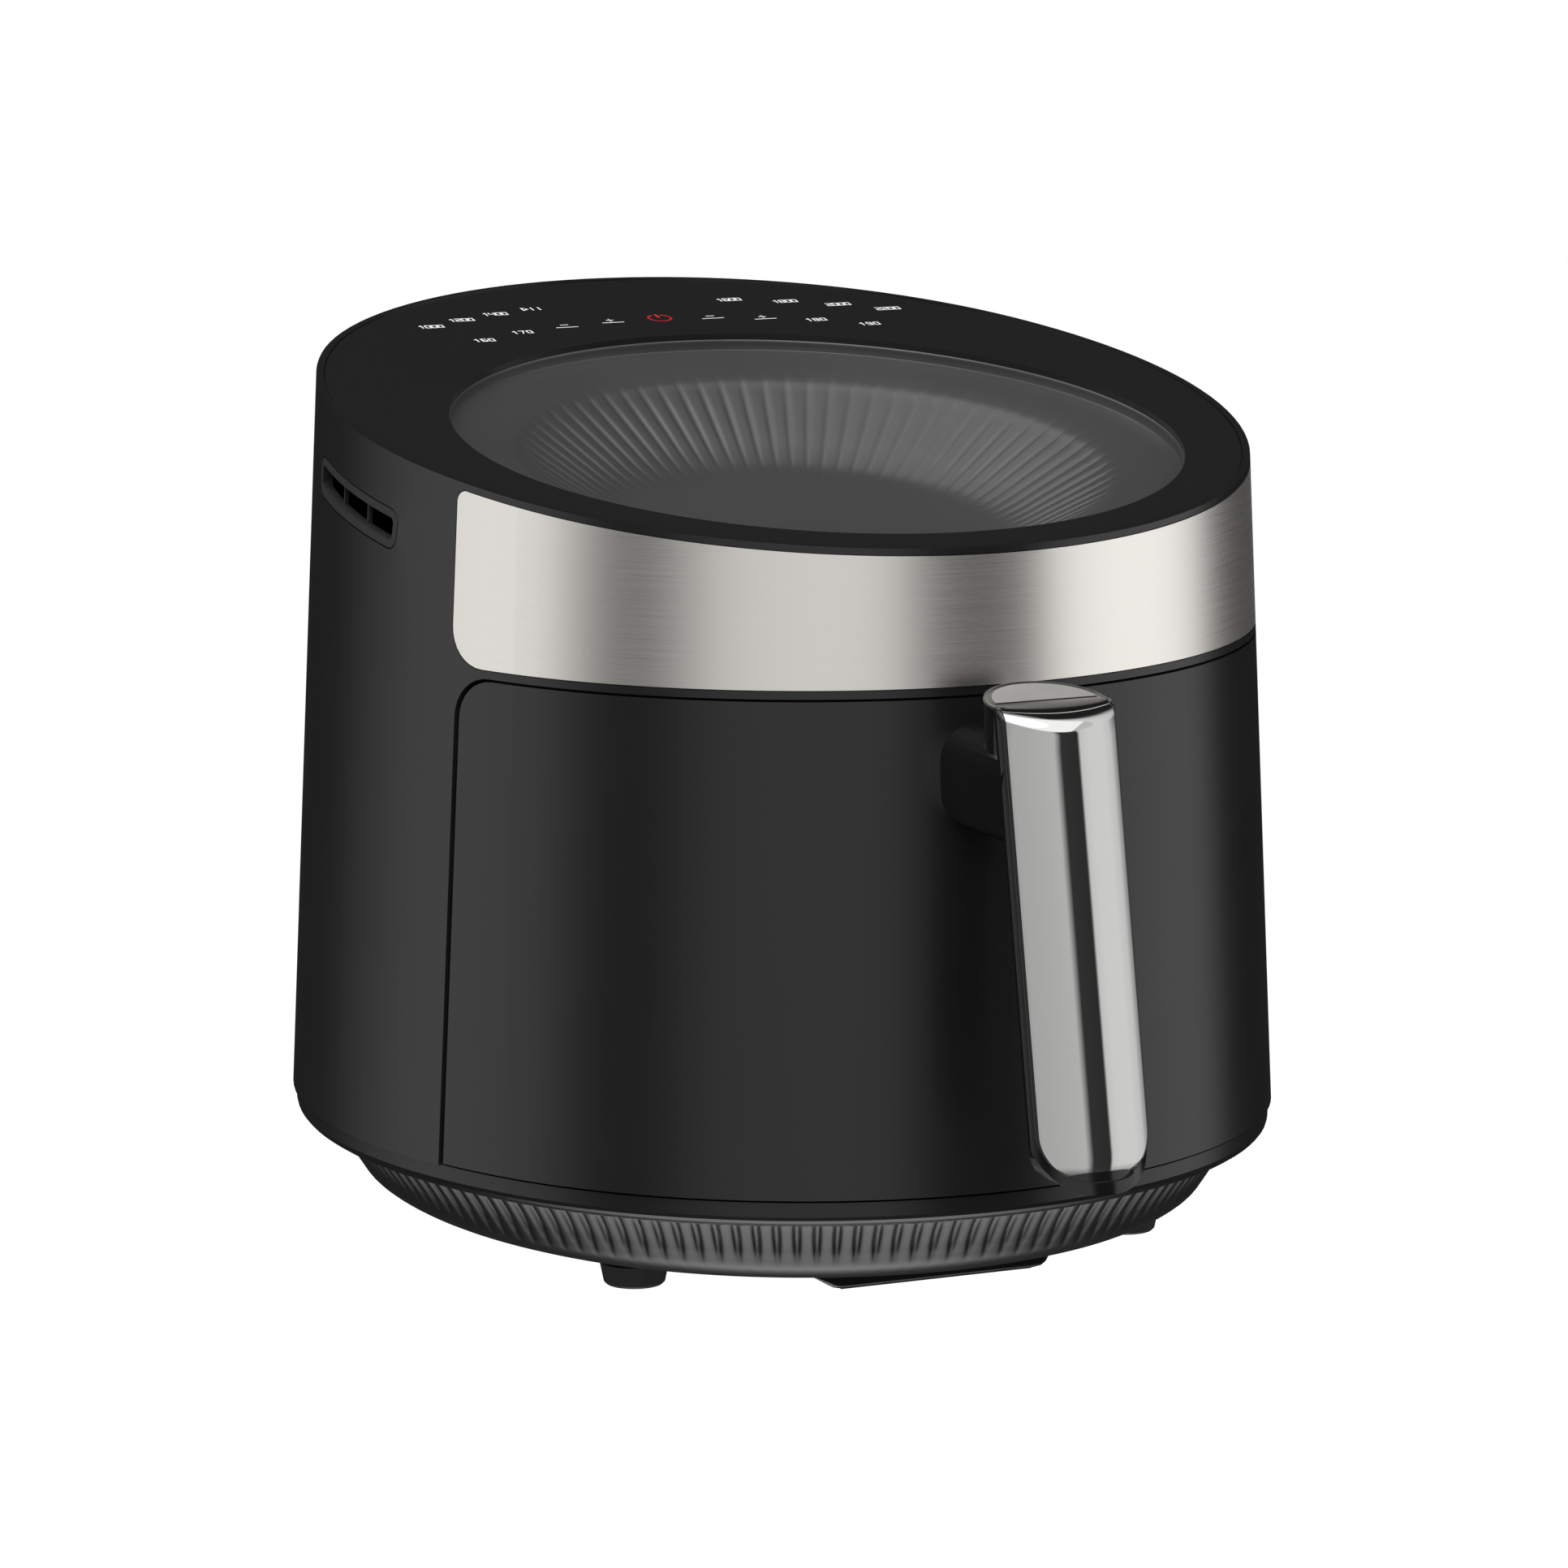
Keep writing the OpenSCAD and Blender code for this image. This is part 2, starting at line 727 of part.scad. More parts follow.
// Two turns of tube joined by a short bridge, with leads up through the ceiling
module heating_element() {
    lead_h = ceiling_top - heater_z + 8;
    elbow_r = heater_tube_r + 0.3;
    color([0.24, 0.23, 0.22])
        at_pan_axis() translate([0, 0, heater_z]) {
            heater_turn(heater_r1);
            heater_turn(heater_r2);
            translate([-lead_gap, inner_lead_y, 0]) rotate([-90, 0, 0])
                cylinder(r = heater_tube_r - 0.2, h = outer_lead_y - inner_lead_y, $fn = 24);
            for (y = [inner_lead_y, outer_lead_y]) {
                translate([-lead_gap, y, 0]) sphere(r = elbow_r, $fn = 24);
                translate([lead_gap, y, 0]) sphere(r = elbow_r, $fn = 24);
                translate([lead_gap, y, 0]) cylinder(r = heater_tube_r - 0.2, h = lead_h, $fn = 24);
            }
        }
}

// Straps that hang the heating element from the ceiling
module heater_clips() {
    w = 8;
    low = heater_z - heater_tube_r - 1.2;
    color([0.45, 0.45, 0.45])
        at_pan_axis()
            for (a = clip_angles)
                rotate(a) translate([0, -w / 2, 0]) {
                    translate([heater_r1 - 6, 0, low]) cube([heater_r2 - heater_r1 + 12, w, 1]);
                    translate([(heater_r1 + heater_r2) / 2 - 1, 0, low])
                        cube([2, w, ceiling_z - low]);
                }
}

// Wire guard under the heater: rings, spokes that cross over them, and three posts
module heater_guard() {
    wire = 1.2;
    z = heater_z - 9;
    hub_r = 24;
    post_r = liner_r - 12;
    color([0.66, 0.66, 0.66])
        at_pan_axis() {
            for (i = [0:3]) translate([0, 0, z]) ring_tube(hub_r + i * 22, wire);
            translate([0, 0, z]) ring_tube(post_r, wire);
            for (a = [0:30:330])
                rotate(a) translate([hub_r - 3, 0, z + 1.25 * wire]) rotate([0, 90, 0])
                    cylinder(r = wire, h = post_r - hub_r + 6, $fn = 16);
            for (a = [45, 165, 285])
                rotate(a) translate([post_r, 0, z - 2]) cylinder(r = 2, h = ceiling_z - z + 2, $fn = 24);
        }
}

module thermistor_probe() {
    color([0.8, 0.8, 0.78])
        at_pan_axis() rotate(probe_angle) translate([probe_r, 0, 0]) {
            translate([0, 0, ceiling_z - 16]) cylinder(r = 2, h = 18 + ceiling_t, $fn = 24);
            translate([0, 0, ceiling_top]) cylinder(r = 5, h = 3, $fn = 6);
        }
}

module thermal_cutout() {
    color([0.82, 0.78, 0.70])
        at_pan_axis() rotate(215) translate([100, 0, ceiling_top]) {
            cylinder(r = 8, h = 4, $fn = 32);
            translate([0, 0, 3.9]) cylinder(r = 5, h = 5, $fn = 32);
            translate([-11, -3, 0]) cube([22, 6, 1.2]);
        }
}

// ---------------------------------------------------------------- motor and fans

hot_fan_h = 11;
cool_fan_z = ceiling_top + 3.4;
cool_fan_h = 7;
bracket_z = cool_fan_z + cool_fan_h + 2.6;
bracket_t = 1.5;
stator_z = bracket_z + bracket_t;
stator_h = 10;
cap_z = stator_z + stator_h;
bearing_r = 7;
bearing_h = 2.6;
running = 0.05;
leg_r = cool_fan_r + 5;
shaft_low = ceiling_z - 3.5 - hot_fan_h - 3;
shaft_high = cap_z + 4.2;

module motor_bracket() {
    color([0.60, 0.61, 0.62])
        at_pan_axis() {
            difference() {
                union() {
                    translate([0, 0, bracket_z]) cylinder(r = stator_r + 2, h = bracket_t, $fn = 64);
                    for (a = [45:90:315])
                        rotate(a) translate([stator_r - 6, -5, bracket_z]) cube([leg_r - stator_r + 10, 10, bracket_t]);
                }
                translate([0, 0, bracket_z - 5]) cylinder(r = bearing_r, h = 20, $fn = 48);
            }
            for (a = [45:90:315])
                rotate(a) {
                    translate([leg_r + 2.5, -5, ceiling_top]) cube([1.5, 10, bracket_z - ceiling_top + bracket_t]);
                    translate([leg_r + 2.5, -5, ceiling_top]) cube([9, 10, 1.5]);
                }
        }
}

teeth = 6;
tooth_w = 6;
coil_t = 2;

// Ring with inward teeth, each narrower where its coil is wound
module motor_stator() {
    bore_r = rotor_r + 0.5;
    color([0.48, 0.48, 0.50])
        at_pan_axis() translate([0, 0, stator_z])
            difference() {
                union() {
                    difference() {
                        cylinder(r = stator_r, h = stator_h, $fn = 96);
                        translate([0, 0, -1]) cylinder(r = stator_r - 5, h = stator_h + 2, $fn = 96);
                    }
                    for (i = [0:teeth - 1])
                        rotate(i * 360 / teeth) translate([bore_r - 2, 0, 0]) {
                            translate([0, -tooth_w / 2, coil_t + 0.2])
                                cube([stator_r - bore_r, tooth_w, stator_h - 2 * coil_t - 0.4]);
                            translate([0, -tooth_w / 2 - 2, 0]) cube([3.6, tooth_w + 4, stator_h]);
                        }
                }
                translate([0, 0, -1]) cylinder(r = bore_r, h = stator_h + 2, $fn = 64);
            }
}

// Each coil is a closed ring of winding round its tooth
module motor_coils() {
    h = stator_h - 0.2;
    w = tooth_w + 2 * coil_t + 0.2;
    color([0.72, 0.38, 0.16])
        at_pan_axis() translate([0, 0, stator_z + 0.1])
            for (i = [0:teeth - 1])
                rotate(i * 360 / teeth) translate([rotor_r + 2.8, 0, 0])
                    difference() {
                        translate([0, -w / 2, 0]) cube([4.6, w, h]);
                        translate([-1, coil_t - w / 2, coil_t]) cube([7, w - 2 * coil_t, h - 2 * coil_t]);
                    }
}

// Cap over the stator, which carries the upper bearing
module motor_cap() {
    color([0.60, 0.61, 0.62])
        at_pan_axis() translate([0, 0, cap_z])
            difference() {
                union() {
                    translate([0, 0, 1.5]) cylinder(r = stator_r, h = 1.4, $fn = 96);
                    difference() {
                        cylinder(r = stator_r, h = 2, $fn = 96);
                        translate([0, 0, -1]) cylinder(r = stator_r - 3, h = 4, $fn = 96);
                    }
                }
                translate([0, 0, -5]) cylinder(r = bearing_r, h = 20, $fn = 48);
            }
}

module shaft_bearings() {
    color([0.70, 0.70, 0.72])
        at_pan_axis()
            for (z = [bracket_z - 0.8, cap_z + 0.9])
                translate([0, 0, z])
                    difference() {
                        cylinder(r = bearing_r, h = bearing_h, $fn = 48);
                        translate([0, 0, -1]) cylinder(r = shaft_r + running, h = bearing_h + 2, $fn = 48);
                    }
}

module motor_shaft() {
    color([0.75, 0.75, 0.77])
        at_pan_axis() translate([0, 0, shaft_low]) cylinder(r = shaft_r, h = shaft_high - shaft_low, $fn = 48);
}

module rotor_core() {
    color([0.42, 0.42, 0.44])
        at_pan_axis() translate([0, 0, stator_z + 2.4])
            difference() {
                cylinder(r = rotor_r, h = stator_h - 3.2, $fn = 64);
                translate([0, 0, -1]) cylinder(r = shaft_r, h = stator_h + 2, $fn = 48);
            }
}

// Pressed disc with upright blades that curve backwards
module blade_ring(r0, r1, h, t, lean) {
    for (i = [0:fan_blades - 1])
        rotate(i * 360 / fan_blades) translate([r0, 0, 0]) rotate(lean)
            translate([0, -t / 2, 0]) cube([r1 - r0, t, h]);
}

module hot_fan() {
    top = ceiling_z - 3.5;
    color([0.66, 0.66, 0.67])
        at_pan_axis()
            difference() {
                union() {
                    translate([0, 0, top - 1]) cylinder(r = hot_fan_r, h = 1, $fn = 96);
                    translate([0, 0, top - hot_fan_h]) blade_ring(hot_fan_r * 0.5, hot_fan_r - 3, hot_fan_h - 0.5, 1, 24);
                    translate([0, 0, top - 8]) cylinder(r = 7, h = 8, $fn = 48);
                }
                translate([0, 0, top - 30]) cylinder(r = shaft_r, h = 60, $fn = 48);
            }
}

module cooling_fan() {
    color([0.20, 0.20, 0.21])
        at_pan_axis() translate([0, 0, cool_fan_z])
            difference() {
                union() {
                    cylinder(r = cool_fan_r, h = 1, $fn = 96);
                    blade_ring(cool_fan_r * 0.45, cool_fan_r - 3, cool_fan_h, 1.2, 24);
                    cylinder(r = 8, h = cool_fan_h, $fn = 48);
                }
                translate([0, 0, -1]) cylinder(r = shaft_r, h = 20, $fn = 48);
            }
}

module fan_nut() {
    top = ceiling_z - 3.5 - 8;
    color([0.80, 0.76, 0.62])
        at_pan_axis()
            difference() {
                union() {
                    translate([0, 0, top - 4]) cylinder(r = 6, h = 4, $fn = 6);
                    translate([0, 0, top - 5.5]) cylinder(r = 4.4, h = 5, $fn = 32);
                }
                translate([0, 0, shaft_low]) cylinder(r = shaft_r, h = 60, $fn = 48);
            }
}

// ---------------------------------------------------------------- power electronics

power_w = 70;
power_h = 84;
power_z = seam_z + 26;
power_x = -54;
part_d = 10;
// The board's tallest parts clear the round liner behind x = -30
power_y = pan_y + sqrt(pow(liner_r + sheet_t, 2) - pow(30, 2)) + part_d + 0.6;
bracket_y = power_y + 4;
cable_w = 20;
cable_t = 0.8;
cable_x = -60;
cable_y = power_y + board_t;

// Upright frame behind the power board, on a foot that rests on the base's shelf
module board_bracket() {
    frame_w = power_w + 6;
    frame_x = power_x - frame_w / 2;
    border = 8;
    color([0.17, 0.17, 0.17]) {
        difference() {
            translate([frame_x, bracket_y, seam_z]) cube([frame_w, 2, power_z + power_h + 2 - seam_z]);
            translate([frame_x + border + 3, bracket_y - 5, power_z + border])
                cube([frame_w - 2 * border - 6, 20, power_h - 2 * border]);
            outside_wall(inside);
        }
        difference() {
            translate([frame_x, bracket_y - 14, seam_z]) cube([frame_w, 15, 2]);
            outside_wall(inside);
            at_pan_axis() cylinder(r = liner_r + sheet_t + clear, h = rim_z, $fn = 128);
        }
        for (x = [-1, 1], z = [4, power_h - 4])
            translate([power_x + x * (power_w / 2 - 4), cable_y - eps, power_z + z]) rotate([-90, 0, 0])
                cylinder(r = 2.6, h = bracket_y - cable_y + 2 * eps, $fn = 24);
    }
}

module power_board() {
    color([0.30, 0.24, 0.10])
        translate([power_x - power_w / 2, power_y, power_z]) cube([power_w, board_t, power_h]);
}

// Coil, relay and capacitors on the board's inner face: place, width, height, depth
module power_parts() {
    module part(x, z, w, h, d) {
        translate([power_x + x, power_y - d, power_z + z]) cube([w, d, h]);
    }
    color([0.12, 0.12, 0.13]) {
        part(-8, 8, 24, 22, part_d);
        part(-32, 10, 20, 16, 7);
        part(14, 50, 16, 14, 6);
        part(-30, 56, 26, 10, 6);
        for (z = [34, 44])
            translate([power_x + 26, power_y, power_z + z]) rotate([90, 0, 0])
                cylinder(r = 4, h = part_d - 3, $fn = 24);
    }
}

// ---------------------------------------------------------------- interlock

plunger_z = seam_z + 112;
plunger_r = 2.2;
tab_reach = pan_rim_r + 0.4;
switch_w = 20;
switch_h = 14;
switch_y = pan_y + liner_r + sheet_t + 0.5;
plunger_tip = pan_y + tab_reach + clear;

module interlock_switch() {
    color([0.10, 0.10, 0.11])
        difference() {
            union() {
                translate([-switch_w / 2, switch_y, plunger_z - switch_h / 2]) cube([switch_w, 12, switch_h]);
                translate([-switch_w / 2 - 7, switch_y, plunger_z - 4]) cube([switch_w + 14, 3, 8]);
            }
            translate([0, switch_y - 1, plunger_z]) rotate([-90, 0, 0])
                cylinder(r = plunger_r + running, h = 9, $fn = 32);
            at_pan_axis() cylinder(r = liner_r + sheet_t + 0.1, h = rim_z, $fn = 128);
        }
}

module switch_plunger() {
    length = switch_y + 3 - plunger_tip;
    color([0.85, 0.83, 0.78])
        translate([0, plunger_tip, plunger_z]) rotate([-90, 0, 0]) {
            translate([0, 0, plunger_r / 2]) cylinder(r = plunger_r, h = length - plunger_r / 2, $fn = 32);
            cylinder(r1 = plunger_r / 2, r2 = plunger_r, h = plunger_r / 2 + eps, $fn = 32);
        }
}

// ---------------------------------------------------------------- base

ring_low = seam_z - rim_ring_h;
ring_step = 1.2;
ring_in = 10.9;
ring_t = 3.5;
ring_round = 4.8;
shelf_t = 2.4;
shelf_hole_r = 96;
post_r = 4.5;
post_spots = [for (a = [20, 90, 160, 200, 245, 295, 340]) [112 * cos(a), 118 * sin(a)]];
cover_t = 2.2;
cover_inset = 42;
cover_r = body_w / 2 - cover_inset;

// Curved rim under the seam, the shelf that carries the cavity, and the screw posts
module base_frame() {
    hw = body_w / 2;
    rib_h = 8;
    post_z = base_z + cover_t;
    color([0.12, 0.12, 0.12])
        difference() {
            union() {
                difference() {
                    oval_ring() polygon(concat(
                        [[60, seam_z], [hw - ring_step, seam_z]],
                        [for (a = [0:15:90]) [
                            hw - ring_in + (ring_in - ring_step) * cos(a),
                            ring_low + ring_round * (1 - sin(a))
                        ]],
                        [
                            [hw - ring_in - ring_t, ring_low],
                            [hw - ring_in - ring_t, seam_z - shelf_t - 1],
                            [hw - ring_in - ring_t - 1.5, seam_z - shelf_t],
                            [60, seam_z - shelf_t]
                        ]
                    ));
                    at_pan_axis() cylinder(r = shelf_hole_r, h = rim_z, $fn = 128);
                }
                for (p = post_spots)
                    translate([p[0], p[1], post_z]) cylinder(r = post_r, h = seam_z - post_z - 1, $fn = 24);
                difference() {
                    for (a = [20:60:320])
                        rotate(a) translate([0, -1.2, seam_z - shelf_t - rib_h])
                            cube([liner_r + 8, 2.4, rib_h + 1]);
                    at_pan_axis() cylinder(r = shelf_hole_r, h = rim_z, $fn = 128);
                }
            }
            for (p = post_spots)
                translate([p[0], p[1], base_z]) cylinder(r = 1.6, h = 24, $fn = 24);
        }
}

// Base profile: inset from the body's half width, height, share of the flutes' depth
base_rows = [
    [ring_in + 0.4, ring_low, 0.5],
    [ring_in + 3.9, ring_low - 6.4, 1],
    [ring_in + 10.3, base_z + 12.1, 0.5],
    [ring_in + 14.4, base_z + 6.5, 0],
    [ring_in + 22.1, base_z + 2, 0],
    [cover_inset - 1, base_z, 0]
];
base_inner_rows = [
    [cover_inset, base_z + cover_t, 0],
    [ring_in + 16.6, base_z + 9, 0],
    [ring_in + 4.5, ring_low, 0]
];

// Point of the oval plan whose outward normal turns through angle a
function plan_point(half, a) =
    let (turn = (a + flank_angle + 360) % 360)
        turn < 2 * flank_angle ? [(half + flank_c) * cos(a) - flank_c, (half + flank_c) * sin(a)] :
        turn < 180 ? [(half - end_drop) * cos(a), (half - end_drop) * sin(a) + end_c] :
        turn < 180 + 2 * flank_angle ? [(half + flank_c) * cos(a) + flank_c, (half + flank_c) * sin(a)] :
        [(half - end_drop) * cos(a), (half - end_drop) * sin(a) - end_c];

// Normal angles of the flute points, evenly spaced along each arc of the plan
flute_angles = [
    for (side = [0, 180])
        each concat(
            [for (i = [0:3 * flank_flutes - 1]) side - flank_angle + 2 * flank_angle * i / (3 * flank_flutes)],
            [for (i = [0:3 * end_flutes - 1]) side + flank_angle + (180 - 2 * flank_angle) * i / (3 * end_flutes)]
        )
];

module fluted_base() {
    n = len(flute_angles);
    rows = concat(base_rows, base_inner_rows);
    rings = [for (row = rows, i = [0:n - 1])
        let (
            inset = row[0] + groove(i) * row[2] * base_flute_depth,
            p = plan_point(body_w / 2 - inset, flute_angles[i])
        ) [p[0], p[1], row[1]]];
    last = (len(rows) - 1) * n;
    closing = [for (i = [0:n - 1])
        let (j = (i + 1) % n) each [[last + i, i, j], [last + i, j, last + j]]];
    color([0.27, 0.27, 0.27])
        polyhedron(points = rings, faces = concat(band_faces(n, len(rows)), closing));
}

// Floor cover with foot bosses, air slots and the front skid
module bottom_cover() {
    skid_w = 69;
    skid_z = 2.6;
    skid_y = body_d / 2 - 52.5;
    color([0.14, 0.14, 0.14])
        difference() {
            union() {
                oval_ring() polygon([[40, base_z], [cover_r, base_z], [cover_r, base_z + cover_t], [40, base_z + cover_t]]);
                translate([0, 0, base_z]) cylinder(r = 60, h = cover_t, $fn = 64);
                front_prism(-skid_y, -skid_y + 34)
                    polygon([
                        [-skid_w / 2 - 7, base_z + eps], [-skid_w / 2 - 1.5, skid_z + 0.8],
                        [-skid_w / 2, skid_z], [skid_w / 2, skid_z],
                        [skid_w / 2 + 1.5, skid_z + 0.8], [skid_w / 2 + 7, base_z + eps]
                    ]);
            }
            for (p = post_spots)
                translate([p[0], p[1], base_z - 10]) cylinder(r = 1.9, h = 30, $fn = 24);
            for (p = foot_spots)
                translate([p[0], p[1], base_z - 10]) cylinder(r = 3, h = 30, $fn = 24);
            for (x = [-5:5])
                translate([x * 9 - 2, -40, base_z - 1]) cube([4, 80, 10]);
        }
}

foot_spots = [for (x = [-1, 1], y = [-1, 1]) [x * feet_w / 2, y * feet_d / 2]];

module rubber_feet() {
    color([0.05, 0.05, 0.05])
        for (p = foot_spots)
            translate([p[0], p[1], 0]) {
                rotate_extrude($fn = 48)
                    polygon([
                        [0, 0], [5.3, 0], [5.7, 0.4], [5.7, 1], [foot_r - 2.2, 1], [foot_r - 1.4, 1.8],
                        [foot_r, base_z], [0, base_z]
                    ]);
                translate([0, 0, base_z - eps]) cylinder(r = 2.9, h = cover_t + 1.2, $fn = 24);
                translate([0, 0, base_z + cover_t + 0.1]) cylinder(r = 4.2, h = 1.6, $fn = 24);
            }
}

module base_screws() {
    color([0.55, 0.55, 0.57])
        for (p = post_spots)
            translate([p[0], p[1], base_z - 1.8]) screw(1.6, 16, 3.2, 1.8);
}

// ---------------------------------------------------------------- drawer

front_in = front_t + 0.05;

module drawer_front() {
    color([0.12, 0.12, 0.12])
        difference() {
            intersection() {
                wall_strip(seam_z, rim_z, 0, front_t);
                side_prism() opening_outline(front_side_gap, front_gap, front_gap, opening_r - 1);
            }
            for (z = handle_screw_z)
                translate([0, -body_d, z]) rotate([-90, 0, 0]) cylinder(r = 2.2, h = body_d, $fn = 32);
        }
}

// Inner cover of the drawer: a curved wall round the pan and plates out to the front
module drawer_backing() {
    low = seam_z + 3;
    high = ceiling_z - 1.6;
    color([0.15, 0.15, 0.15])
        intersection() {
            difference() {
                union() {
                    at_pan_axis()
                        difference() {
                            translate([0, 0, low]) cylinder(r = backing_r + backing_t, h = high - low, $fn = 128);
                            translate([0, 0, low - 1]) cylinder(r = backing_r, h = high - low + 2, $fn = 128);
                        }
                    for (z = [low, high - backing_t])
                        difference() {
                            wall_flat(z, backing_t, front_in);
                            at_pan_axis() cylinder(r = backing_r, h = rim_z, $fn = 128);
                        }
                }
                outside_wall(front_in);
                for (z = bracket_screw_z, a = [-8, 8])
                    at_pan_axis() rotate(a) translate([0, -backing_r - 20, z]) rotate([-90, 0, 0])
                        cylinder(r = 1.8, h = 30, $fn = 24);
                for (z = handle_screw_z)
                    translate([0, -body_d, z]) rotate([-90, 0, 0])
                        cylinder(r = 4.4, h = body_d - 100, $fn = 32);
            }
            translate([-big / 2, -big, 0]) cube([big, big - opening_y - front_side_gap - 2, rim_z]);
        }
}

// Round pan with a rounded bottom corner and a rolled rim
module pan() {
    corner = 12;
    top = pan_z + pan_h;
    outer = concat(
        [[0, pan_z]],
        arc_points([pan_r - corner, pan_z + corner], corner, -90, 0, 6),
        [[pan_r, top - 1.2], [pan_rim_r, top - 1.2], [pan_rim_r, top]]
    );
    inner = concat(
        [[pan_r - pan_t, top]],
        arc_points([pan_r - corner, pan_z + corner], corner - pan_t, 0, -90, 6),
        [[0, pan_z + pan_t]]
    );
    color([0.16, 0.16, 0.16])
        at_pan_axis() rotate_extrude($fn = 128) polygon(concat(outer, inner));
}

bracket_low = pan_z + pan_h * 0.45;
bracket_h = 40;
bracket_screw_z = [bracket_low + 8, bracket_low + bracket_h - 8];

// Channel that ties the pan to the drawer's inner cover
module pan_bracket() {
    wide = 15;
    color([0.40, 0.40, 0.41])
        at_pan_axis()
            difference() {
                translate([0, 0, bracket_low])
                    rotate_extrude(angle = 2 * wide, start = 270 - wide, $fn = 128)
                        translate([pan_r + 0.05, 0]) square([backing_r - pan_r - 0.1, bracket_h]);
                translate([0, 0, bracket_low + 2])
                    rotate_extrude(angle = 2 * wide + 4, start = 268 - wide, $fn = 128)
                        translate([pan_r + 1.6, 0]) square([backing_r - pan_r - 3.2, bracket_h - 4]);
                for (z = bracket_screw_z, a = [-8, 8])
                    rotate(a) translate([0, -backing_r - 5, z]) rotate([-90, 0, 0])
                        cylinder(r = 1.6, h = 8, $fn = 24);
            }
}

// Tab on the back of the pan that works the interlock
module switch_tab() {
    color([0.45, 0.45, 0.46])
        at_pan_axis()
            difference() {
                translate([-7, pan_r - 4, plunger_z - 6]) cube([14, tab_reach - pan_r + 4, 12]);
                cylinder(r = pan_r + 0.05, h = rim_z, $fn = 128);
            }
}

// ---------------------------------------------------------------- handle

handle_top_z = opening_top + 1.4;
handle_low_z = seam_z + handle_low;
neck_top_z = opening_top - 9;
neck_low_z = neck_top_z - neck_h;
neck_mid_z = (neck_top_z + neck_low_z) / 2;
handle_screw_z = [neck_mid_z - 8, neck_mid_z + 8];
handle_mid_y = -end_y(neck_mid_z) - handle_reach;

// Moves its children to the handle's sloping axis, which passes behind the neck
module on_handle() {
    translate([0, handle_mid_y, neck_mid_z]) rotate([-handle_slope, 0, 0]) children();
}

// Oval bar: two arcs of the same radius facing each other, grown all round
module handle_bar(grow) {
    width = handle_w + 2 * grow;
    depth = handle_d + 2 * grow;
    arc_r = (pow(width / 2, 2) + pow(depth / 2, 2)) / depth;
    sunk = arc_r - depth / 2;
    on_handle()
        intersection() {
            translate([0, sunk, -big / 2]) cylinder(r = arc_r, h = big, $fn = 128);
            translate([0, -sunk, -big / 2]) cylinder(r = arc_r, h = big, $fn = 128);
            translate([-width / 2 + 0.5, -depth, -big / 2]) cube([width - 1, 2 * depth, big]);
        }
}

// Front view of the handle: square top, rounded lower end
module handle_face(width, low, r) {
    polygon(concat(
        [[-width / 2, rim_z]],
        arc_points([-width / 2 + r, low + r], r, 180, 270),
        arc_points([width / 2 - r, low + r], r, 270, 360),
        [[width / 2, rim_z]]
    ));
}

// The handle's head spreads back over the neck and carries a slanted top plate
head_y = handle_mid_y + 9.5;
head_r = handle_w / 2 - 0.7;
head_low_z = handle_top_z - 14;
brow_d = 17;
brow_h = 9;

function plate_at(y) = handle_top_z + (y - handle_mid_y) * tan_tilt;

// Plan of the head: straight sides in front and half a circle behind
module head_plan(grow) {
    r = head_r + grow;
    polygon(concat(
        [[-r, head_y - 3], [7 - r, head_y - 7], [r - 7, head_y - 7], [r, head_y - 3]],
        arc_points([0, head_y], r, 0, 180, 32)
    ));
}

module handle_head(grow) {
    intersection() {
        translate([0, 0, head_low_z]) linear_extrude(height = 60) head_plan(grow);
        side_prism()
            polygon([
                [head_y - 60, head_low_z], [head_y + 1 + grow, head_low_z],
                [head_y + 4.5 + grow, head_low_z + 3], [head_y + 11 + grow, head_low_z + 8.5 - grow / 2],
                [head_y + 17 + grow, head_low_z + 12.4 - grow],
                [head_y + head_r + grow, head_low_z + 14 - grow],
                [head_y + head_r + grow, head_low_z + 60], [head_y - 60, head_low_z + 60]
            ]);
    }
}

// Everything under the top plate and the rounded brow in front of it
module under_brow(grow) {
    a = brow_d + grow;
    b = brow_h + grow;
    top = plate_at(head_y) + grow;
    side_prism()
        polygon(concat(
            [[head_y - 60, 0], [head_y - 60, top - b]],
            [for (t = [180:-7.5:90]) [head_y + a * cos(t), top - b + b * sin(t)]],
            [[head_y + 60, top + 60 * tan_tilt], [head_y + 60, 0]]
        ));
}

module handle_form(grow) {
    intersection() {
        union() {
            handle_bar(grow);
            handle_head(grow);
        }
        under_brow(grow);
        front_prism(-body_d, 0) handle_face(handle_w + 2 * grow, handle_low_z - grow, 17);
    }
}

trim_side = 1.8;
trim_low = 4;

// Where the bright trim lies: the front face below, and the plate on top
module trim_zone(gap) {
    intersection() {
        front_prism(-body_d, -body_d / 2 - 20)
            handle_face(handle_w - 2 * trim_side + 2 * gap, handle_low_z + trim_low - gap, 14);
        on_handle() translate([-big / 2, -big, -big / 2]) cube([big, big - 0.5 + gap, big]);
    }
    intersection() {
        translate([0, 0, head_low_z]) linear_extrude(height = 60) head_plan(gap - trim_t - 0.3);
        translate([-big / 2, 0, plate_at(0) - trim_t - 0.8 - gap]) rotate([rim_tilt, 0, 0])
            translate([0, -big, 0]) cube([big, 2 * big, big]);
    }
}

module handle_frame() {
    color([0.06, 0.06, 0.06])
        difference() {
            union() {
                handle_form(-trim_t - 0.15);
                difference() {
                    handle_form(0);
                    trim_zone(0.05);
                }
                difference() {
                    front_prism(handle_mid_y, -end_y(rim_z) + 12)
                        neck_outline(handle_w - 0.4, neck_h, 12);
                    wall_fill(0.02);
                }
            }
            for (z = handle_screw_z)
                translate([0, handle_mid_y - 1, z]) rotate([-90, 0, 0]) cylinder(r = 2, h = body_d, $fn = 32);
        }
}

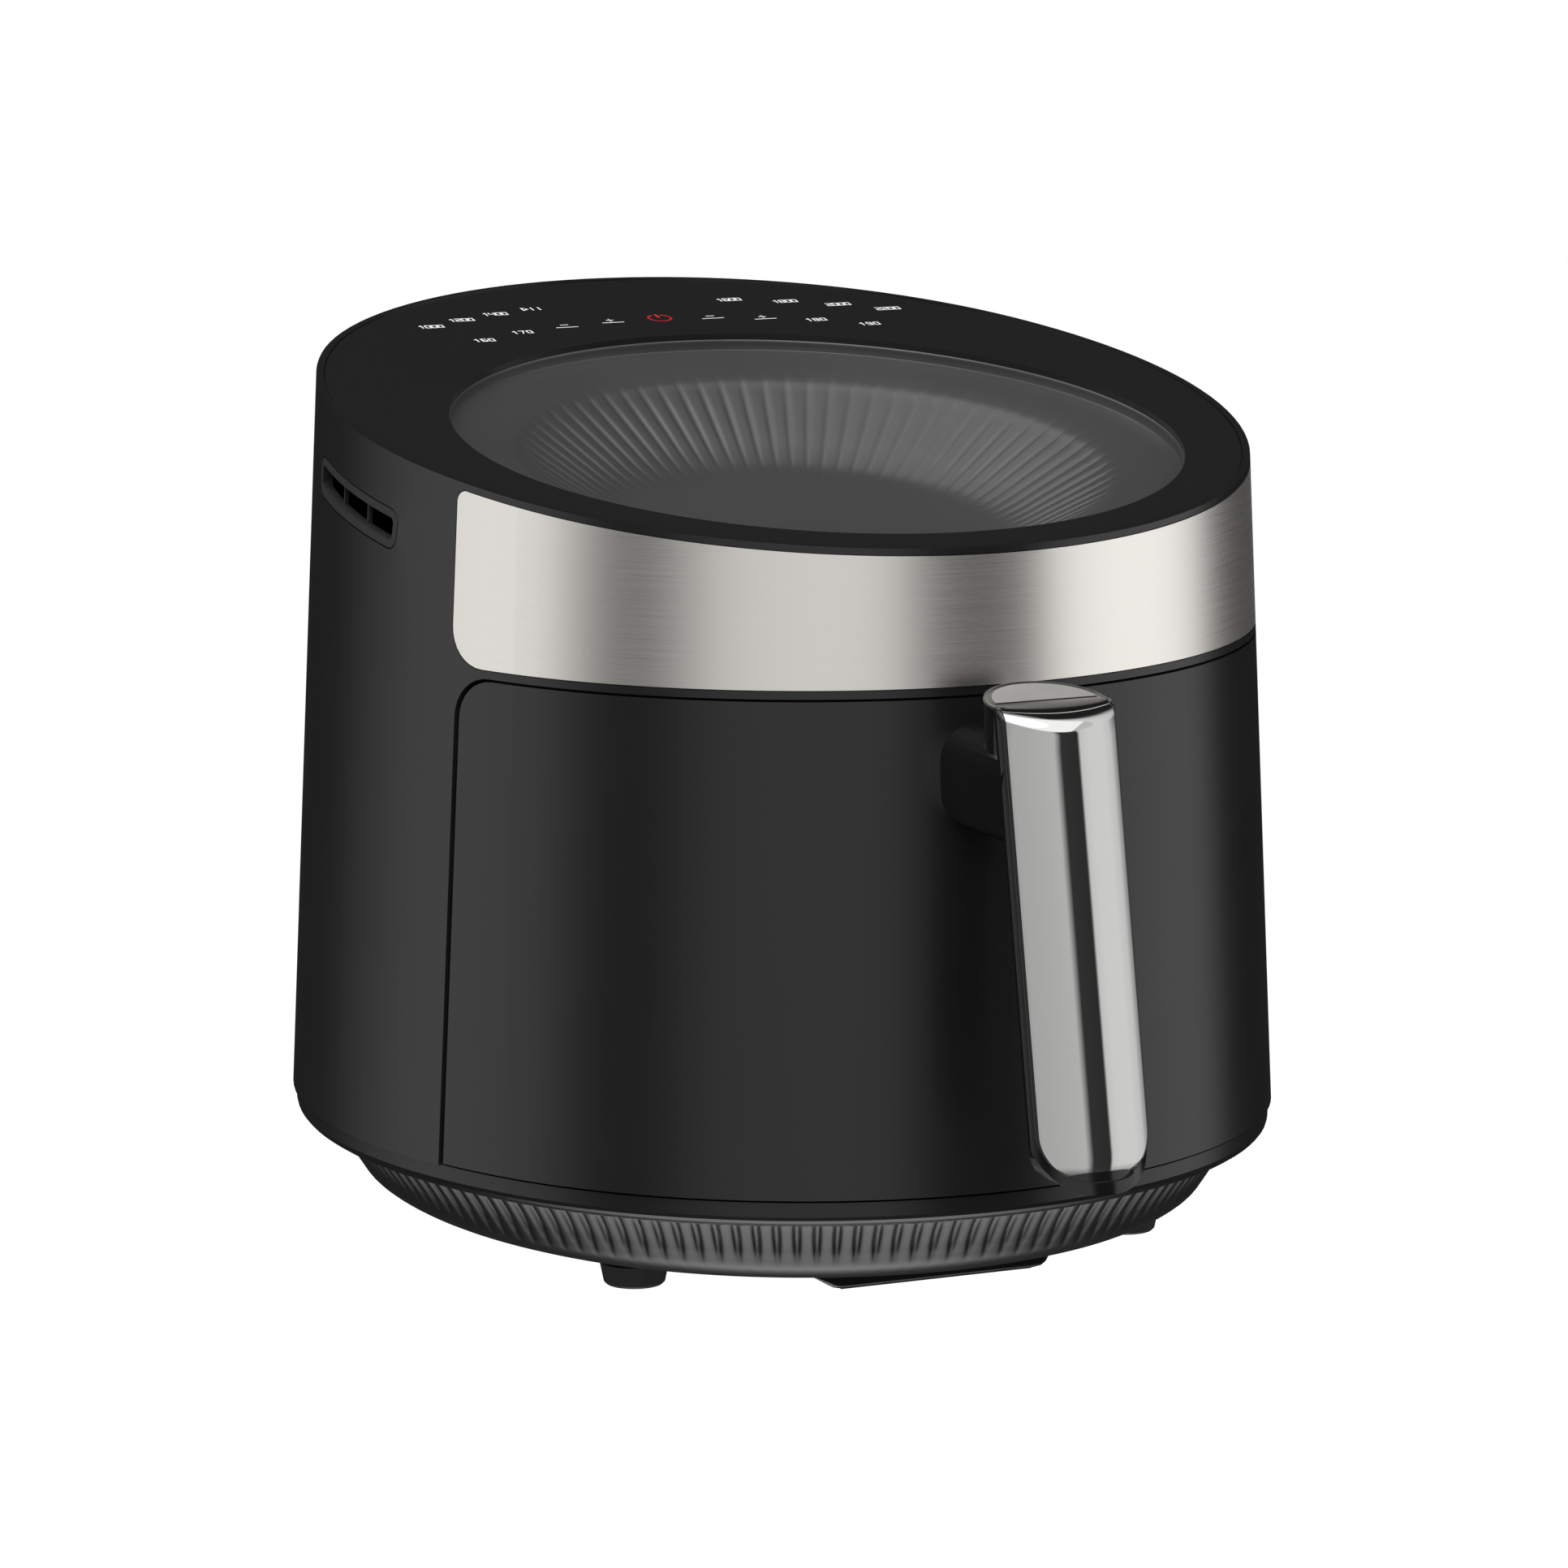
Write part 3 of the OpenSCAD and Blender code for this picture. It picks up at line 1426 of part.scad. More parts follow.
module neck_outline(w, h, r) {
    polygon(concat(
        arc_points([w / 2 - r, neck_mid_z + h / 2 - r], r, 0, 90),
        arc_points([-w / 2 + r, neck_mid_z + h / 2 - r], r, 90, 180),
        arc_points([-w / 2 + r, neck_mid_z - h / 2 + r], r, 180, 270),
        arc_points([w / 2 - r, neck_mid_z - h / 2 + r], r, 270, 360)
    ));
}

// Solid inside of the wall's front end, for trimming what seats on its outer face
module wall_fill(outset) {
    translate([0, -end_c, 0])
        rotate_extrude($fn = 128)
            polygon([
                [0, 0], [half_w(0) - end_drop + outset, 0],
                [half_w(rim_z) - end_drop + outset, rim_z], [0, rim_z]
            ]);
}

// Bright trim: one shell over the front face, the brow and the top plate
module handle_trim() {
    color([0.80, 0.80, 0.80])
        difference() {
            intersection() {
                handle_form(0.3);
                trim_zone(0);
            }
            handle_form(-trim_t);
        }
}

module handle_screws() {
    length = end_y(neck_mid_z) - front_t + handle_mid_y;
    color([0.58, 0.58, 0.60])
        for (z = handle_screw_z)
            translate([0, -end_y(z) + front_t + 2.5, z]) rotate([90, 0, 0])
                screw(1.95, handle_reach - 6, 4, 2.1);
}

// ---------------------------------------------------------------- crisper plate

// Perforated plate, bent up at its edge
module crisper_plate() {
    z = pan_z + plate_z;
    rows = floor((plate_r - 14) / plate_pitch);
    color([0.20, 0.20, 0.20])
        at_pan_axis()
            difference() {
                rotate_extrude($fn = 128)
                    polygon([
                        [0, z], [plate_r - 6, z], [plate_r, z + 5], [plate_r, z + 9], [plate_r - 1.2, z + 9],
                        [plate_r - 1.2, z + 5.6], [plate_r - 6.5, z + 1.2], [0, z + 1.2]
                    ]);
                for (i = [-rows:rows], j = [-rows:rows])
                    if (norm([i, j] * plate_pitch) < plate_r - 14)
                        translate([i * plate_pitch, j * plate_pitch, z - 5])
                            cylinder(r = plate_hole_r, h = 20, $fn = 24);
            }
}

// Soft feet under the plate
module plate_bumpers() {
    spread = plate_r - 22;
    color([0.30, 0.30, 0.32])
        at_pan_axis()
            for (a = [45:90:315])
                rotate(a + 6) translate([spread, 0, pan_z + pan_t + clear])
                    cylinder(r = 5, h = plate_z - pan_t - clear, $fn = 32);
}

// ---------------------------------------------------------------- nodes

housing_shell();
steel_band();
side_vent_left();
side_vent_right();
exhaust_grille();
exhaust_duct();
cord_gland();
control_glass();
top_frame();
dish();
control_board();
display_module();
touch_springs();
ribbon_cable();
mid_deck();
cavity_liner();
cavity_floor();
drawer_rails();
ceiling_plate();
heating_element();
heater_clips();
heater_guard();
thermistor_probe();
thermal_cutout();
motor_bracket();
motor_stator();
motor_coils();
motor_cap();
shaft_bearings();
power_board();
power_parts();
board_bracket();
interlock_switch();
base_frame();
fluted_base();
bottom_cover();
rubber_feet();
base_screws();
motor_shaft();
rotor_core();
hot_fan();
cooling_fan();
fan_nut();
switch_plunger();
drawer_front();
drawer_backing();
pan();
pan_bracket();
switch_tab();
handle_frame();
handle_trim();
handle_screws();
crisper_plate();
plate_bumpers();
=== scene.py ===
# %% [markdown]
# # An air fryer, cell by cell
# The construction comes in finished: every piece at its real size and place. This lesson gives
# it its looks. It loads that model as a fixed frame, gives each piece a finish that behaves
# like the real material, and models again the few pieces whose surface is too fine for the
# plain solids, such as the fluted base and the fluted dish.

# %% Load the construction
import json
import math
import bmesh
import bpy
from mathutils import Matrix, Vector


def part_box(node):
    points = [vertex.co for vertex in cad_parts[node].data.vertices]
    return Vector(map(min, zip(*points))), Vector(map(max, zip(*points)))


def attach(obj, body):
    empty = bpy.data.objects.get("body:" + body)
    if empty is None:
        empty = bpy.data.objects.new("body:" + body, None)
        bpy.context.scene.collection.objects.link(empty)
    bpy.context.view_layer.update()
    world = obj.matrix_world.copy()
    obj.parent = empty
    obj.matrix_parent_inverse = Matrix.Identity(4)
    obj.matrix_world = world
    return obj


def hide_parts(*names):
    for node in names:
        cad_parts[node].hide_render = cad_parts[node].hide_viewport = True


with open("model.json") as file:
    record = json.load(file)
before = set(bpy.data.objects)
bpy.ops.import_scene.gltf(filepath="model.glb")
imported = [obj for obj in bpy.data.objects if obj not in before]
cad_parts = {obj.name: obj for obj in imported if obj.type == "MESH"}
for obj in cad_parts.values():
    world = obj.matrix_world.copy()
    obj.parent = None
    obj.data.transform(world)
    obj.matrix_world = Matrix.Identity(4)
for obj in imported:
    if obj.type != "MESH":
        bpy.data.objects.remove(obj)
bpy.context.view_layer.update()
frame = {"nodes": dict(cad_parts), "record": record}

nodes = frame["nodes"]
MM = 0.001
print(len(nodes), "solid pieces loaded")

# %% [markdown]
# The body is a drafted oval. Its plan is four arcs: two flat ones on the flanks and two round
# ones at the front and back. The driving sizes below are read from the pieces' own boxes where
# they can be, so what is modelled here meets what is already there.

# %% The oval body's driving sizes
shell_low, shell_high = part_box("housing_shell")
HALF_W = shell_high.x
SEAM_Z = shell_low.z
END_C = (shell_high.y - shell_high.x) / 0.75
FLANK_C = END_C * 15 / 8
END_DROP = END_C / 4
FLANK = math.atan(8 / 15)
DRAFT = 0.044
RIM_Z = 278.5 * MM
RIM_TILT = math.radians(8.5)
DISH_R = 123.6 * MM
DISH_Y = -32 * MM
print("body", round(2 * HALF_W / MM), "mm wide,", round(2 * shell_high.y / MM), "mm deep")

# %% [markdown]
# A few functions give points of the wall at any azimuth and height, and of the slanted top.


# %% Points on the oval wall and on the slanted top
def half_width(z):
    return HALF_W - DRAFT * (z - SEAM_Z)


def oval_point(half, a):
    """Point of the plan whose outward normal makes the angle a with +X."""
    turn = (a + FLANK) % math.tau
    if turn < 2 * FLANK:
        return (half + FLANK_C) * math.cos(a) - FLANK_C, (half + FLANK_C) * math.sin(a)
    if turn < math.pi:
        return (half - END_DROP) * math.cos(a), (half - END_DROP) * math.sin(a) + END_C
    if turn < math.pi + 2 * FLANK:
        return (half + FLANK_C) * math.cos(a) + FLANK_C, (half + FLANK_C) * math.sin(a)
    return (half - END_DROP) * math.cos(a), (half - END_DROP) * math.sin(a) - END_C


def wall_point(azimuth, z, inset=0.0):
    """Point on the wall, seen at an azimuth from the front (-Y) towards +X."""
    x, y = oval_point(half_width(z) - inset, azimuth - math.pi / 2)
    return Vector((x, y, z))


def on_slope(x, y, lift=0.0):
    """Point on the slanted plane of the rim, given by its place in that plane."""
    c, s = math.cos(RIM_TILT), math.sin(RIM_TILT)
    return Vector((x, y * c - lift * s, RIM_Z + y * s + lift * c))


print("wall front at half height:", [round(v / MM, 1) for v in wall_point(0, 0.12)])

# %% [markdown]
# Colours are written as sRGB codes, the way a paint card gives them, and one function turns
# them into the linear values that shaders work with. Another adds a shader or geometry node
# with its settings and links, and the rest put that to use, so each material below reads as a
# short recipe.


# %% Colour and node helpers
def linear(code):
    """Turn an sRGB hex colour into linear red, green, blue and alpha."""
    shares = [int(code[i:i + 2], 16) / 255 for i in (1, 3, 5)]
    return [v / 12.92 if v <= 0.04045 else ((v + 0.055) / 1.055) ** 2.4 for v in shares] + [1.0]


def add(tree, kind, settings=None, inputs=None):
    """Add a node, set its properties, and set or link its inputs."""
    node = tree.nodes.new(kind)
    for name, value in (settings or {}).items():
        setattr(node, name, value)
    for name, value in (inputs or {}).items():
        if isinstance(value, bpy.types.NodeSocket):
            tree.links.new(value, node.inputs[name])
        else:
            node.inputs[name].default_value = value
    return node


def calc(tree, operation, *values):
    """Result of a Math node whose inputs are numbers or sockets."""
    inputs = dict(enumerate(values))
    return add(tree, "ShaderNodeMath", {"operation": operation}, inputs).outputs[0]


def between(tree, value, low, high, to_low=0.0, to_high=1.0):
    """Clamped linear step of a value from low to high."""
    step = add(tree, "ShaderNodeMapRange", inputs={
        "Value": value, "From Min": low, "From Max": high, "To Min": to_low, "To Max": to_high})
    return step.outputs[0]


def blend(tree, share, first, second):
    """Colour that goes from the first to the second as the share rises."""
    mix = add(tree, "ShaderNodeMix", {"data_type": "RGBA"}, {0: share, 6: first, 7: second})
    return mix.outputs[2]


def place_of(tree):
    """Place in the object's own space, which textures are laid out in."""
    return add(tree, "ShaderNodeTexCoord").outputs["Object"]


def grey(level):
    return level, level, level, 1


def new_material(name):
    """Empty material with an output node; returns it and its tree."""
    material = bpy.data.materials.new(name)
    material.use_nodes = True
    material.node_tree.nodes.clear()
    return material, material.node_tree


def finish_material(tree, shader):
    add(tree, "ShaderNodeOutputMaterial", inputs={"Surface": shader.outputs[0]})


print("helpers ready")

# %% [markdown]
# The camera stands front left of the object, a little above it. It is far off with a long
# lens, which keeps the tall walls nearly parallel.

# %% Camera
CAMERA_AZIMUTH = math.radians(23.993)
CAMERA_ELEVATION = math.radians(10.395)
CAMERA_DISTANCE = 2.4351
CAMERA_LENS = 163.2
AIM = Vector((0.00155, -0.00065, 0.1471))

away = Vector((
    -math.sin(CAMERA_AZIMUTH) * math.cos(CAMERA_ELEVATION),
    -math.cos(CAMERA_AZIMUTH) * math.cos(CAMERA_ELEVATION),
    math.sin(CAMERA_ELEVATION),
))
camera = bpy.data.objects.new("camera", bpy.data.cameras.new("camera"))
bpy.context.scene.collection.objects.link(camera)
bpy.context.scene.camera = camera
camera.data.lens = CAMERA_LENS
camera.data.sensor_width = 36
camera.data.clip_start = 0.1
camera.data.clip_end = 50
camera.location = AIM + away * CAMERA_DISTANCE
camera.rotation_mode = "QUATERNION"
camera.rotation_quaternion = (-away).to_track_quat("-Z", "Y")
bpy.context.scene.view_settings.view_transform = "Standard"
print("camera at", [round(v, 3) for v in camera.location])

# %% [markdown]
# Dark plastic and polished metal are shaped by what they mirror. The studio is therefore a
# ring of tall, pale screens with dark gaps between them: one to the left, one behind the
# camera and one to the right. A lit table glows from straight below. Above the screens hangs
# an even ceiling, with a brighter skylight over its left part. The world's node tree draws all
# of it from the direction of each ray. The camera itself sees plain white.

# %% Studio screens
# Degrees from the front towards +X, and how bright the studio is there
SCREENS = [
    (-180, 0.02), (-158, 0.04), (-142, 0.3), (-124, 0.8), (-108, 0.88), (-92, 0.82),
    (-82, 0.38), (-74, 0.08), (-62, 0.07), (-55, 0.32), (-44, 0.64), (-2, 0.74), (8, 0.05),
    (36, 0.04), (40, 0.9), (52, 1.0), (78, 1.02), (90, 0.88), (97, 0.38), (103, 0.03),
    (118, 0.02), (180, 0.02),
]
TABLE = [(-180, 0.02), (-110, 0.03), (-70, 0.08), (10, 0.08), (50, 0.03), (180, 0.02)]
UNDERGLOW = 2.3
CEILING = 0.8
SKYLIGHT = 1.5
# Height of a ray's direction at which one part of the studio gives way to the next
SCREENS_TO_TABLE = (-0.25, -0.45)
TABLE_TO_GLOW = (-0.72, -0.96)
CEILING_FRONT = 0.42
CEILING_BACK = 0.95
CEILING_FADE = 0.08


def ring_light(tree, azimuth, stops):
    """Colour ramp round the horizon, from azimuth shares of a full turn."""
    ramp = add(tree, "ShaderNodeValToRGB", inputs={"Fac": azimuth})
    marks = ramp.color_ramp.elements
    while len(marks) < len(stops):
        marks.new(0.5)
    for mark, (degrees, level) in zip(marks, stops):
        mark.position = (degrees + 180) / 360
        mark.color = grey(level)
    return ramp.outputs["Color"]


def studio_world():
    world = bpy.data.worlds.new("studio")
    bpy.context.scene.world = world
    world.use_nodes = True
    tree = world.node_tree
    tree.nodes.clear()
    direction = add(tree, "ShaderNodeTexCoord").outputs["Generated"]
    part = add(tree, "ShaderNodeSeparateXYZ", inputs={"Vector": direction}).outputs
    angle = calc(tree, "ARCTAN2", part["X"], calc(tree, "MULTIPLY", part["Y"], -1.0))
    azimuth = between(tree, angle, -math.pi, math.pi)
    screens = ring_light(tree, azimuth, SCREENS)
    table = ring_light(tree, azimuth, TABLE)
    below = blend(tree, between(tree, part["Z"], *SCREENS_TO_TABLE), screens, table)
    steep = calc(tree, "POWER", between(tree, part["Z"], *TABLE_TO_GLOW), 2.0)
    glow = blend(tree, steep, below, grey(UNDERGLOW))
    # The ceiling starts low at the front and high at the back, but low all along the left
    edge = between(tree, part["Y"], -0.35, 0.0, CEILING_FRONT, CEILING_BACK)
    left = between(tree, part["X"], 0.05, -0.15, 0.0, CEILING_BACK - CEILING_FRONT)
    start = calc(tree, "MAXIMUM", calc(tree, "SUBTRACT", edge, left), CEILING_FRONT)
    above = between(tree, calc(tree, "SUBTRACT", part["Z"], start), 0.0, CEILING_FADE)
    # The skylight's edge leans, so it reaches further right the higher a ray points
    lean = calc(tree, "MULTIPLY_ADD", part["Z"], -0.5, part["X"])
    ceiling = blend(tree, between(tree, lean, 0.23, 0.19), grey(CEILING), grey(SKYLIGHT))
    lit = blend(tree, above, glow, ceiling)
    path = add(tree, "ShaderNodeLightPath").outputs
    seen = calc(tree, "MAXIMUM", path["Is Camera Ray"], path["Is Transmission Ray"])
    colour = blend(tree, seen, lit, grey(1))
    shade = add(tree, "ShaderNodeBackground", inputs={"Color": colour, "Strength": 1.0})
    add(tree, "ShaderNodeOutputWorld", inputs={"Surface": shade.outputs[0]})


studio_world()
print(len(SCREENS), "stops round the ring of screens")

# %% [markdown]
# One large soft lamp hangs overhead for the gentle shadow under the body. The floor is a
# pale disc that fades to the same white as the background. Only the camera sees it, because
# the table's light is already in the studio.


# %% Overhead lamp and floor
FLOOR_R = 0.55
# The floor's own grey fades out between these distances from the middle
FLOOR_FADE = (0.22, 0.5)


def soft_lamp(name, place, aim, size, watts):
    lamp = bpy.data.objects.new(name, bpy.data.lights.new(name, "AREA"))
    lamp.data.shape = "DISK"
    lamp.data.size = size
    lamp.data.energy = watts
    lamp.location = place
    lamp.rotation_euler = (Vector(aim) - Vector(place)).to_track_quat("-Z", "Y").to_euler()
    bpy.context.scene.collection.objects.link(lamp)


def floor_paper():
    """Pale studio paper that keeps a faint shadow and fades out at its edge."""
    material, tree = new_material("studio_paper")
    place = place_of(tree)
    reach = add(tree, "ShaderNodeVectorMath", {"operation": "LENGTH"}, {0: place})
    glow = between(tree, reach.outputs["Value"], *FLOOR_FADE, 0.93, 1.0)
    paper = add(tree, "ShaderNodeBsdfDiffuse", inputs={"Color": linear("#F2F2F2")})
    white = add(tree, "ShaderNodeEmission", inputs={"Color": grey(1), "Strength": 1.1})
    sheet = add(tree, "ShaderNodeMixShader", inputs={
        0: glow, 1: paper.outputs[0], 2: white.outputs[0]})
    clear = add(tree, "ShaderNodeBsdfTransparent")
    camera_ray = add(tree, "ShaderNodeLightPath").outputs["Is Camera Ray"]
    finish_material(tree, add(tree, "ShaderNodeMixShader", inputs={
        0: camera_ray, 1: clear.outputs[0], 2: sheet.outputs[0]}))
    return material


soft_lamp("overhead", (-0.6, -0.75, 1.8), (0, 0, 0.1), 1.9, 20)
sheet = bmesh.new()
bmesh.ops.create_circle(sheet, cap_ends=True, segments=128, radius=FLOOR_R)
floor_mesh = bpy.data.meshes.new("floor")
sheet.to_mesh(floor_mesh)
sheet.free()
floor = bpy.data.objects.new("floor", floor_mesh)
bpy.context.scene.collection.objects.link(floor)
floor_mesh.materials.append(floor_paper())
print("floor and lamp placed")

# %% [markdown]
# ## Finishes
# Most of the object is injection-moulded plastic. The mould's fine spark-eroded grain breaks
# up its highlights, and the colour wanders by a percent or two where the melt cooled.
# A noise texture at the grain's real size drives a small bump, and a much larger one drives
# the colour and the roughness.


# %% Moulded plastic and rubber
def moulded(name, colour, rough, grain=0.35, depth=0.03, varied=0.06):
    """Moulded plastic; grain and depth of the mould's texture are in millimetres."""
    material, tree = new_material(name)
    place = place_of(tree)
    cloud = add(tree, "ShaderNodeTexNoise", inputs={
        "Vector": place, "Scale": 1 / (40 * MM), "Detail": 3.0})
    tone = between(tree, cloud.outputs["Fac"], 0.0, 1.0, 1 - varied, 1 + varied)
    shade = add(tree, "ShaderNodeHueSaturation", inputs={"Color": linear(colour), "Value": tone})
    rub = between(tree, cloud.outputs["Fac"], 0.0, 1.0, rough - 0.03, rough + 0.03)
    sand = add(tree, "ShaderNodeTexNoise", inputs={
        "Vector": place, "Scale": 1 / (grain * MM), "Detail": 2.0})
    relief = add(tree, "ShaderNodeBump", inputs={
        "Height": sand.outputs["Fac"], "Distance": depth * MM, "Strength": 0.6})
    finish_material(tree, add(tree, "ShaderNodeBsdfPrincipled", inputs={
        "Base Color": shade.outputs[0], "Roughness": rub, "Normal": relief.outputs[0],
        "IOR": 1.5}))
    return material


# ABS with a fine matte grain: an even, deep black with soft, wide highlights
wall_black = moulded("abs_matte_black", "#171717", 0.26, depth=0.008)
inner_black = moulded("abs_inner_black", "#202020", 0.55)
# Polished ABS: grain too fine to see, sharp highlights
gloss_black = moulded("abs_polished_black", "#111111", 0.14, depth=0.001)
# Acrylic top plate with a hard coat
panel_black = moulded("acrylic_black_panel", "#1B1B1B", 0.12, depth=0.001, varied=0.02)
# Smoke-grey polycarbonate of the dish
dish_grey = moulded("polycarbonate_smoke_grey", "#3B3B3B", 0.34, depth=0.006)
# Charcoal polypropylene of the base
base_grey = moulded("polypropylene_charcoal", "#252525", 0.25, depth=0.005)
foot_black = moulded("thermoplastic_rubber", "#101010", 0.62, depth=0.05)
silicone = moulded("silicone_black", "#1A1A1A", 0.5, depth=0.02)
duct_grey = moulded("painted_duct_sheet", "#565658", 0.5)
ceramic = moulded("steatite_ceramic", "#D3CBB9", 0.55)
acetal = moulded("acetal_ivory", "#DDD8CC", 0.35, depth=0.01)
ribbon = moulded("ribbon_cable_grey", "#A9A9AC", 0.45)
# Screen-printed ink of the key marks
ink_white = moulded("printed_white_ink", "#F6F6F4", 0.5, varied=0.03)
ink_red = moulded("printed_red_ink", "#D8232A", 0.5, varied=0.03)
print("plastics ready")

# %% [markdown]
# Brushed steel has scratches that all run one way. They spread each highlight across the
# grain, so the metal shows soft upright bands of light and dark. Stretched noise draws the
# scratches, and the shader's anisotropy, turned to run round the body, spreads the light.


# %% Brushed and plain metals
def brushed(name, colour, rough, line=0.25, spread=0.6, scratch=0.05):
    """Metal sheet with level brush lines; line is their pitch in millimetres."""
    material, tree = new_material(name)
    place = place_of(tree)
    long = 1 / (60 * MM)
    stretch = add(tree, "ShaderNodeMapping", inputs={
        "Vector": place, "Scale": (long, long, 1 / (line * MM))})
    lines = add(tree, "ShaderNodeTexNoise", inputs={
        "Vector": stretch.outputs[0], "Scale": 1.0, "Detail": 4.0, "Roughness": 0.6})
    tone = between(tree, lines.outputs["Fac"], 0.3, 0.7, 1 - scratch, 1 + scratch)
    shade = add(tree, "ShaderNodeHueSaturation", inputs={"Color": linear(colour), "Value": tone})
    rub = between(tree, lines.outputs["Fac"], 0.0, 1.0, rough - 0.06, rough + 0.06)
    relief = add(tree, "ShaderNodeBump", inputs={
        "Height": lines.outputs["Fac"], "Distance": 0.0015 * MM, "Strength": 0.5})
    tangent = add(tree, "ShaderNodeTangent", {"direction_type": "RADIAL", "axis": "Z"})
    finish_material(tree, add(tree, "ShaderNodeBsdfPrincipled", inputs={
        "Base Color": shade.outputs[0], "Metallic": 1.0, "Roughness": rub,
        "Anisotropic": spread, "Normal": relief.outputs[0], "Tangent": tangent.outputs[0]}))
    return material


def plain_metal(name, colour, rough, mottle=0.08):
    """Cast, rolled or plated metal with a faint uneven tone."""
    material, tree = new_material(name)
    place = place_of(tree)
    cloud = add(tree, "ShaderNodeTexNoise", inputs={
        "Vector": place, "Scale": 1 / (12 * MM), "Detail": 5.0})
    tone = between(tree, cloud.outputs["Fac"], 0.0, 1.0, 1 - mottle, 1 + mottle)
    shade = add(tree, "ShaderNodeHueSaturation", inputs={"Color": linear(colour), "Value": tone})
    rub = between(tree, cloud.outputs["Fac"], 0.0, 1.0, rough * 0.85, rough * 1.15)
    finish_material(tree, add(tree, "ShaderNodeBsdfPrincipled", inputs={
        "Base Color": shade.outputs[0], "Metallic": 1.0, "Roughness": rub}))
    return material


band_steel = brushed("stainless_brushed_fine", "#F3F0EA", 0.28, spread=0.3, scratch=0.015)
liner_steel = brushed("aluminised_steel_liner", "#B4B4B2", 0.34, line=0.5)
bracket_steel = plain_metal("zinc_plated_steel", "#A9A9AA", 0.36)
chrome = plain_metal("chrome_plating", "#C8C8C6", 0.02, mottle=0.01)
plate_steel = brushed("satin_chrome_plate", "#A8A8A8", 0.3, line=0.3, spread=0.2, scratch=0.02)
wire_chrome = plain_metal("nickel_plated_wire", "#BEBEBC", 0.16)
heater_tube = plain_metal("oxidised_incoloy_tube", "#5E564F", 0.45, mottle=0.25)
cast_alloy = plain_metal("die_cast_zinc", "#B9BABC", 0.42)
core_iron = plain_metal("laminated_iron", "#7A7A7C", 0.5)
copper = plain_metal("enamelled_copper_wire", "#B5683A", 0.3)
brass = plain_metal("turned_brass", "#D0B878", 0.28)
fan_alloy = plain_metal("rolled_aluminium", "#C2C2C3", 0.3)
print("metals ready")

# %% [markdown]
# The pan and its plate carry a sprayed non-stick coating: nearly black, a little speckled,
# with a low sheen. Circuit boards are glass-fibre laminate under green lacquer, specked by
# their solder points. The display's window is smoked and polished.


# %% Coated pan, circuit board and display
def speckled(name, colour, speck, rough, size):
    """Base colour broken by fine specks of a second one; size is in millimetres."""
    material, tree = new_material(name)
    place = place_of(tree)
    cells = add(tree, "ShaderNodeTexVoronoi", inputs={
        "Vector": place, "Scale": 1 / (size * MM)})
    few = between(tree, cells.outputs["Distance"], 0.12, 0.2, 1.0, 0.0)
    shade = blend(tree, few, linear(colour), linear(speck))
    relief = add(tree, "ShaderNodeBump", inputs={
        "Height": cells.outputs["Distance"], "Distance": 0.01 * MM, "Strength": 0.4})
    finish_material(tree, add(tree, "ShaderNodeBsdfPrincipled", inputs={
        "Base Color": shade, "Roughness": rough, "Normal": relief.outputs[0]}))
    return material


pan_coat = speckled("non_stick_coating", "#232325", "#3A3A3D", 0.34, 1.6)
board_green = speckled("green_circuit_laminate", "#1C4A31", "#C9B27A", 0.4, 5.0)
display_black = moulded("smoked_display_window", "#0A0A0B", 0.18, depth=0.001)
print("coatings ready")

# %% [markdown]
# Every solid piece names a slot, which says what it is made of. One table turns slots into
# finishes, so the model can be dressed again by changing the table alone.

# %% Give every solid piece its finish
FINISHES = {
    "housing_plastic": wall_black, "band_steel": band_steel, "vent_plastic": inner_black,
    "duct_sheet": duct_grey, "gland_rubber": foot_black, "panel_gloss": panel_black,
    "frame_plastic": inner_black, "dish_finish": dish_grey, "board_green": board_green,
    "display_black": display_black, "spring_steel": brass, "ribbon_grey": ribbon,
    "liner_steel": liner_steel, "heater_tube": heater_tube, "bracket_steel": bracket_steel,
    "guard_wire": wire_chrome, "probe_steel": wire_chrome, "cutout_ceramic": ceramic,
    "motor_plate": cast_alloy, "stator_iron": core_iron, "coil_copper": copper,
    "bearing_steel": bracket_steel, "parts_black": inner_black, "base_plastic": base_grey,
    "rim_plastic": wall_black, "cover_plastic": inner_black, "foot_rubber": foot_black,
    "screw_steel": bracket_steel, "fan_steel": fan_alloy, "fan_plastic": inner_black,
    "nut_brass": brass, "plunger_plastic": acetal, "front_plastic": wall_black,
    "backing_plastic": inner_black, "pan_coating": pan_coat, "handle_plastic": gloss_black,
    "trim_chrome": chrome, "bumper_silicone": silicone,
}
slot_of = {part["node"]: part["material_slot"] for part in frame["record"]["subparts"]}
for name, solid in nodes.items():
    for holder in solid.material_slots:
        holder.material = FINISHES[slot_of[name]]
print(len(set(slot_of.values())), "slots filled")

# %% [markdown]
# ## Fluted base and fluted dish
# Both are thin moulded bowls whose walls are pressed into reeds. The rule is simple: take the
# smooth bowl, and push each point in by a groove that repeats round it. So the smooth bowl is
# a mesh that knows, for each point, how far round it lies and which way to push, and one
# Geometry Nodes tree cuts the flutes. Its inputs are the number of flutes and their depth.


# %% Pieces and closed meshes
def add_object(name, mesh, body, finish=None):
    """Link a mesh as a piece that rides on a body and takes a slot's finish."""
    piece = bpy.data.objects.new(name, mesh)
    bpy.context.scene.collection.objects.link(piece)
    if finish:
        mesh.materials.clear()
        mesh.materials.append(finish)
    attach(piece, body)
    return piece


